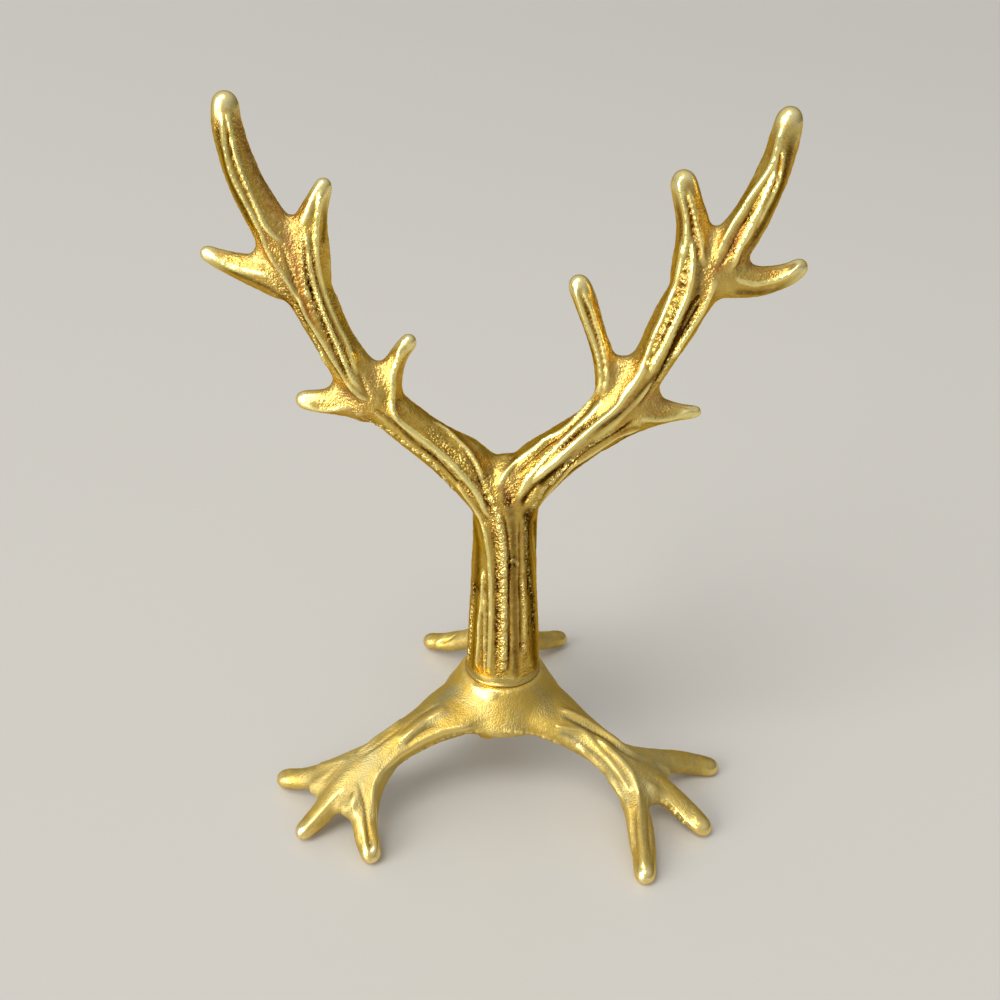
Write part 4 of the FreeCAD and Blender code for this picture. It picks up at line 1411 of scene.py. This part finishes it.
@dataclass(frozen=True)
class Leg:
    """One leg of the base.

    Attributes:
        angle: Its direction over the table, in degrees.
        arch: Rows of reach, height, width and depth.
        prongs: For each prong, rows of reach, offset, height, width and depth.
        webs: The same for the thin metal between the prongs.
    """

    angle: float
    arch: Rows
    prongs: tuple[Rows, ...]
    webs: tuple[Rows, ...]

    def over(self, reach: float, offset: float) -> tuple[float, float]:
        """The place over the table of a point of the leg.

        Args:
            reach: How far it lies along the leg, in millimetres from the trunk's axis.
            offset: How far it lies across the leg.

        Returns:
            Its x and y in millimetres from the trunk's foot.
        """
        turn = math.radians(self.angle)
        along, across = math.cos(turn), math.sin(turn)
        return reach * along - offset * across, reach * across + offset * along

    def point(self, reach: float, offset: float, height: float) -> Vector:
        """The same point at a height, in metres."""
        return spot(*self.over(reach, offset), height)

    def thin_middles(self) -> list[Vector]:
        """Points along the middles of the thin metal between the prongs, in metres."""
        return [self.point(*row) for rows in self.webs for row in midway(rows, 3)]

    def limb(self, rows: Rows) -> bpy.types.Object:
        """A limb made from rows of reach, offset, height, width and depth."""
        full = tuple((*self.over(*row[:2]), *row[2:]) for row in rows)
        return Limb(full, (0.0, 0.0, 1.0)).build("leg_limb")


@dataclass
class TripodBase(Casting):
    """The three-legged casting: a flared hub, three arched legs and nine prongs.

    Attributes:
        seat: The height of the hub's top.
        seat_rim: How far round and below the seat the skin is faced, in millimetres.
        seat_gap: How far below the seat's height it is faced to.
        hub: Rows of height and radius.
        arch_voxel: The size of the faces that the hub and the legs are first welded with.
        arch_fillet: How far the corners between them are filled.
        glint: Where the hub is made smooth and given a painted highlight, in pixels of the
            photograph.
        glint_rub: How far and how strongly it is rubbed there.
        gate: Rows of height and radius of the stub where the metal was poured.
        gate_place: The stub's place over the table.
        gate_sides: How many corners its circles have.
        holes: Rows of height and radius of the pocket for the screw's head and of the bore.
        left: Lines that start farther left in the photograph than this are the left leg's.
        legs: The left, the right and the rear leg.
    """

    name: str = "tripod_base_casting"
    voxel: float = 0.26
    tip_reach: float = 5.0
    thin_reach: float = 4.6
    lumps: Rows = ((2.6, 0.07, 5.0), (0.8, 0.035, 11.0))
    seat: float = 21.3
    seat_rim: Pair = (0.4, 0.6)
    seat_gap: float = 0.01
    hub: Rows = (
        (13.0, 9.4), (13.3, 10.4), (13.9, 10.95), (14.7, 11.05), (16.2, 10.1), (17.95, 9.0),
        (19.7, 8.05), (20.9, 7.5), (21.3, 7.2),
    )
    arch_voxel: float = 0.32
    arch_fillet: float = 2.6
    glint: Rows = ((480, 687), (485, 690), (491, 693))
    glint_rub: Pair = (2.2, 1.6)
    gate: Rows = ((11.8, 1.2), (12.1, 1.6), (13.6, 1.8), (14.8, 1.8))
    gate_place: Pair = (-2.4, -8.1)
    gate_sides: int = 24
    holes: tuple[Rows, ...] = (((-5.0, 5.0), (16.4, 5.0)), ((10.0, 2.25), (30.0, 2.25)))
    left: int = 450
    legs: tuple[Leg, ...] = (
        Leg(212.4,
            ((2.9, 16.4, 13.0, 6.5), (5.8, 16.0, 13.0, 6.1), (8.8, 15.35, 12.8, 5.7),
             (12.0, 14.75, 11.2, 5.5), (15.3, 13.9, 8.7, 5.4), (18.8, 13.0, 7.3, 5.6),
             (21.7, 12.1, 6.8, 5.4), (25.3, 10.5, 6.8, 5.1), (28.8, 8.0, 6.5, 4.8),
             (32.3, 5.4, 6.1, 4.4)),
            (((23.9, -0.4, 11.6, 4.6, 4.2), (30.1, -4.1, 7.7, 4.6, 4.2),
             (34.5, -8.7, 3.6, 4.2, 3.8), (38.9, -13.9, 1.5, 3.5, 3.2)),
             ((23.9, 0.0, 11.6, 4.6, 4.2), (30.1, -0.3, 8.0, 4.9, 4.4), (36.0, 0.3, 3.7, 4.2, 3.9),
             (41.4, 1.3, 1.2, 2.9, 2.8)), ((22.2, 0.4, 11.6, 4.6, 4.2), (27.5, 2.4, 8.0, 4.5, 4.4),
             (31.3, 6.9, 3.6, 4.2, 4.0), (32.6, 13.1, 1.2, 3.3, 3.0))),
            (((26.5, 1.4, 9.7, 5.2, 4.1), (30.1, 2.8, 7.1, 4.8, 3.7), (34.0, 4.2, 4.9, 2.8, 3.1)),
             ((27.5, -1.6, 9.7, 5.2, 4.1), (31.5, -3.1, 7.0, 4.8, 3.7),
             (36.2, -5.0, 4.2, 2.8, 3.1)))),
        Leg(332.4,
            ((2.9, 16.4, 13.0, 6.5), (5.8, 15.6, 13.0, 6.2), (8.8, 14.8, 12.6, 5.9),
             (12.0, 13.8, 10.8, 5.7), (15.3, 12.6, 8.3, 5.5), (18.8, 11.3, 7.0, 5.4),
             (21.7, 10.2, 6.8, 5.3), (25.3, 8.3, 7.0, 5.1), (28.8, 5.9, 7.4, 4.8),
             (32.3, 4.3, 6.7, 4.4)),
            (((22.1, 0.1, 9.5, 4.6, 4.2), (27.4, -2.8, 5.8, 4.6, 4.2), (32.3, -8.9, 3.1, 4.3, 4.0),
             (36.1, -16.5, 1.2, 3.5, 3.3)), ((23.9, 0.3, 9.5, 4.6, 4.2), (30.2, 1.4, 5.8, 4.6, 4.2),
             (36.3, 0.9, 3.0, 4.2, 3.8), (41.6, -0.5, 1.2, 3.3, 3.1)), ((21.8, 0.4, 9.7, 4.6, 4.2),
             (26.8, 6.3, 6.1, 4.6, 4.2), (31.9, 12.8, 2.9, 4.3, 4.0), (37.3, 16.5, 1.0, 3.5, 3.2))),
            (((24.5, -0.8, 8.5, 5.0, 4.1), (28.0, -1.6, 6.3, 4.4, 3.7),
             (31.0, -2.6, 5.1, 2.4, 3.1)), ((24.0, 2.0, 9.1, 5.2, 4.1), (27.8, 4.3, 6.5, 4.6, 3.5),
             (31.2, 6.6, 4.4, 2.4, 2.6)))),
        Leg(92.4,
            ((2.9, 16.4, 13.0, 6.5), (5.8, 15.9, 13.0, 6.3), (8.8, 15.2, 13.0, 6.0),
             (12.0, 14.6, 11.8, 5.8), (15.3, 13.8, 9.2, 5.6), (18.8, 13.0, 7.5, 5.6),
             (21.7, 12.1, 7.1, 5.5), (25.3, 10.6, 7.2, 5.3), (28.8, 8.2, 7.4, 5.0),
             (32.3, 5.6, 6.7, 4.6)),
            (((22.7, 0.0, 11.6, 4.6, 4.2), (28.4, -3.5, 8.2, 4.6, 4.2),
             (33.0, -8.9, 3.8, 4.4, 4.0), (37.3, -15.2, 1.6, 3.5, 3.3)),
             ((23.9, 0.0, 11.6, 4.6, 4.2), (30.1, 0.0, 8.0, 4.8, 4.4), (36.3, 0.0, 3.5, 4.2, 4.0),
             (42.0, 0.0, 1.2, 3.3, 3.1)), ((22.7, 0.0, 11.6, 4.6, 4.2), (28.4, 3.5, 8.2, 4.6, 4.2),
             (32.5, 9.1, 3.8, 4.4, 4.0), (36.1, 15.7, 1.6, 3.5, 3.3))),
            (((26.5, 1.8, 9.7, 5.0, 4.1), (29.8, 3.2, 7.1, 4.6, 3.7), (32.8, 4.4, 5.3, 2.6, 3.1)),
             ((26.5, -1.8, 9.7, 5.0, 4.1), (29.8, -3.2, 7.1, 4.6, 3.7),
             (32.8, -4.4, 5.3, 2.6, 3.1)))),
    )

    def build(self, view: Viewpoint, finish: bpy.types.Material) -> bpy.types.Object:
        """Make the base, lay its lines, cut its holes and dress it.

        Args:
            view: The photograph's viewpoint.
            finish: The material.

        Returns:
            The finished piece.
        """
        arch = [Turning(self.hub).build("hub")]
        for leg in self.legs:
            arch.append(leg.limb(tuple((reach, 0.0, *row) for reach, *row in leg.arch)))
        gate = Turning(self.gate, self.gate_place, self.gate_sides).build("gate")
        parts = [weld(arch, "arch", self.arch_fillet, self.arch_voxel), gate]
        parts += [leg.limb(rows) for leg in self.legs for rows in (*leg.prongs, *leg.webs)]
        piece = weld(parts, self.name, self.fillet, self.voxel)
        skin = Surface(piece)
        round_to_rear = self.legs[2].angle - self.legs[0].angle
        for rib in BASE_RIBS:
            front = skin.on_front(rib.trace, view)
            skin.lay(rib, front)
            if rib.trace[0][0] < self.left:
                skin.lay(rib, skin.turned(front, round_to_rear), self.repeat)
        tips = [leg.point(*rows[-1][:3]) for leg in self.legs for rows in leg.prongs]
        webs = [rows for leg in self.legs for rows in leg.thin_middles()]
        # A smooth spot with a painted highlight on the front of the hub
        skin.rub_and_highlight([place for place, _ in skin.on_front(self.glint, view)], *self.glint_rub)
        self.age(skin, tips, skin.near(webs, self.thin_reach, self.thin_strength))
        for rows in self.holes:
            drill(piece, Turning(rows).build("cutter"))
        return dress(piece, finish)

    def true_up(self, skin: Surface) -> None:
        """Face the hub's seat and the undersides of the prongs that touch the table.

        Args:
            skin: The base's surface, as it has settled.
        """
        places = skin.places.copy()
        seat = self.seat * MM
        out = np.hypot(places[:, 0] - FOOT.x, places[:, 1] - FOOT.y) / MM
        wider, deeper = self.seat_rim
        top = (out < self.hub[-1][1] + wider) & (places[:, 2] > seat - deeper * MM)
        places[top, 2] = np.minimum(places[top, 2], seat - self.seat_gap * MM)
        places[:, 2] = np.maximum(places[:, 2], 0.0)
        skin.hold(places)


@dataclass
class Fastening:
    """The screw and the washer under the hub, which keep their exact shapes.

    Attributes:
        finishes: The finish of each.
    """

    finishes: tuple[tuple[str, TurnedSteel], ...] = (
        ("base_screw", TurnedSteel("screw_steel")),
        ("washer", TurnedSteel("washer_steel")),
    )

    def dress(self) -> None:
        """Give both pieces their finishes."""
        for name, steel in self.finishes:
            finish = steel.build()
            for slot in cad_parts[name].material_slots:
                slot.material = finish
            log.info("dressed %s", name)


@dataclass
class Studio:
    """A plain pale floor and soft light from the upper left.

    Attributes:
        floor_side: The floor's side, in metres.
        floor_tone: The floor's colour, in screen values.
        floor_shine: The floor's roughness.
        lamps: Rows of name, direction that the light comes from, spread in degrees and strength.
        bright_side: Where the walls are palest.
        walls: How far round from the dark side to the pale one each colour of the walls stands.
    """

    floor_side: float = 40.0
    floor_tone: Colour = (202, 199, 193)
    floor_shine: float = 0.38
    lamps: tuple = (
        ("window_light", (-0.74, -0.62, 0.36), 44.0, 2.50),
        ("ceiling_light", (-0.28, -0.36, 0.88), 28.0, 0.95),
    )
    bright_side: tuple[float, float, float] = (-0.46, -0.34, 0.82)
    walls: tuple = ((0.22, (100, 98, 94)), (0.82, (208, 207, 204)))

    def build(self) -> None:
        """Make the floor, the lamps and the world."""
        scene = bpy.context.scene
        scene.view_settings.view_transform = "Standard"
        bpy.ops.object.select_all(action="DESELECT")
        bpy.ops.mesh.primitive_plane_add(size=self.floor_side, location=(0, 0, 0))
        floor = bpy.context.view_layer.objects.active
        floor.name = "studio_floor"
        nodes = Nodes("studio_floor_paint")
        nodes.set(Base_Color=tone(self.floor_tone), Roughness=self.floor_shine)
        floor.data.materials.append(nodes.material)
        for name, source, spread, strength in self.lamps:
            data = bpy.data.lights.new(name, "SUN")
            data.angle = math.radians(spread)
            data.energy = strength
            lamp = bpy.data.objects.new(name, data)
            scene.collection.objects.link(lamp)
            turn = Vector(source).to_track_quat("Z", "Y").to_matrix().to_4x4()
            lamp.matrix_world = Matrix.Translation(Vector(source)) @ turn
        self._world()

    def _world(self) -> None:
        """Make the pale surroundings, seen by the camera and in the metal."""
        world = bpy.data.worlds.new("studio_world")
        bpy.context.scene.world = world
        world.use_nodes = True
        tree = world.node_tree
        place = tree.nodes.new("ShaderNodeTexCoord")
        lean = tree.nodes.new("ShaderNodeVectorMath")
        lean.operation = "DOT_PRODUCT"
        lean.inputs[1].default_value = Vector(self.bright_side).normalized()
        ramp = tree.nodes.new("ShaderNodeValToRGB")
        for stop, (at, colour) in zip(tuple(ramp.color_ramp.elements), self.walls):
            stop.position = at
            stop.color = tone(colour)
        share = tree.nodes.new("ShaderNodeMapRange")
        share.inputs["From Min"].default_value = -1.0
        background = tree.nodes["Background"]
        background.inputs["Strength"].default_value = 1.0
        for output, target in (
            (place.outputs["Generated"], lean.inputs[0]),
            (lean.outputs["Value"], share.inputs["Value"]),
            (share.outputs["Result"], ramp.inputs["Fac"]),
            (ramp.outputs["Color"], background.inputs["Color"]),
        ):
            tree.links.new(output, target)


# The crest, hollow and fork colours are painted highlight, painted shade with some patina, and
# painted pale reflection; the tip colour is wear and a painted highlight
UPRIGHT_GOLD = GoldCasting(
    name="bright_gold_casting",
    crest=(255, 240, 158),
    face=(209, 175, 82),
    hollow=(74, 46, 12),
    blush=(196, 138, 62),
    pale_reflection=(208, 182, 116),
    worn_and_sheen=(246, 234, 196),
    edge=(236, 200, 120),
    mottle=0.4,
    shine=0.22,
    polish=-0.04,
    grain=1.0,
    grain_size=0.38,
)
BASE_GOLD = GoldCasting(
    name="satin_gold_casting",
    crest=(244, 216, 130),
    face=(209, 178, 88),
    hollow=(140, 112, 56),
    blush=(186, 172, 116),
    pale_reflection=(202, 188, 130),
    worn_and_sheen=(246, 238, 208),
    edge=(238, 216, 160),
    mottle=0.5,
    shine=0.50,
    polish=0.26,
    grain=0.75,
    grain_size=0.26,
)


def main() -> None:
    """Build every piece in order and report it."""
    logging.basicConfig(level=logging.INFO, format="%(message)s")
    view = Viewpoint()
    view.add_camera()
    Studio().build()
    upright = AntlerUpright().build(view, UPRIGHT_GOLD.build())
    base = TripodBase().build(view, BASE_GOLD.build())
    for piece, node, slot in (
        (upright, "antler_upright", "upright_gold"),
        (base, "tripod_base", "base_gold"),
    ):
        only(piece)
        bpy.ops.object.shade_smooth_by_angle(angle=SHARPEST_SMOOTH)
        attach(piece, BODY)
        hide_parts(node)
        log.info("built %s: %d faces", piece.name, len(piece.data.polygons))
    Fastening().dress()


if __name__ == "__main__":
    main()
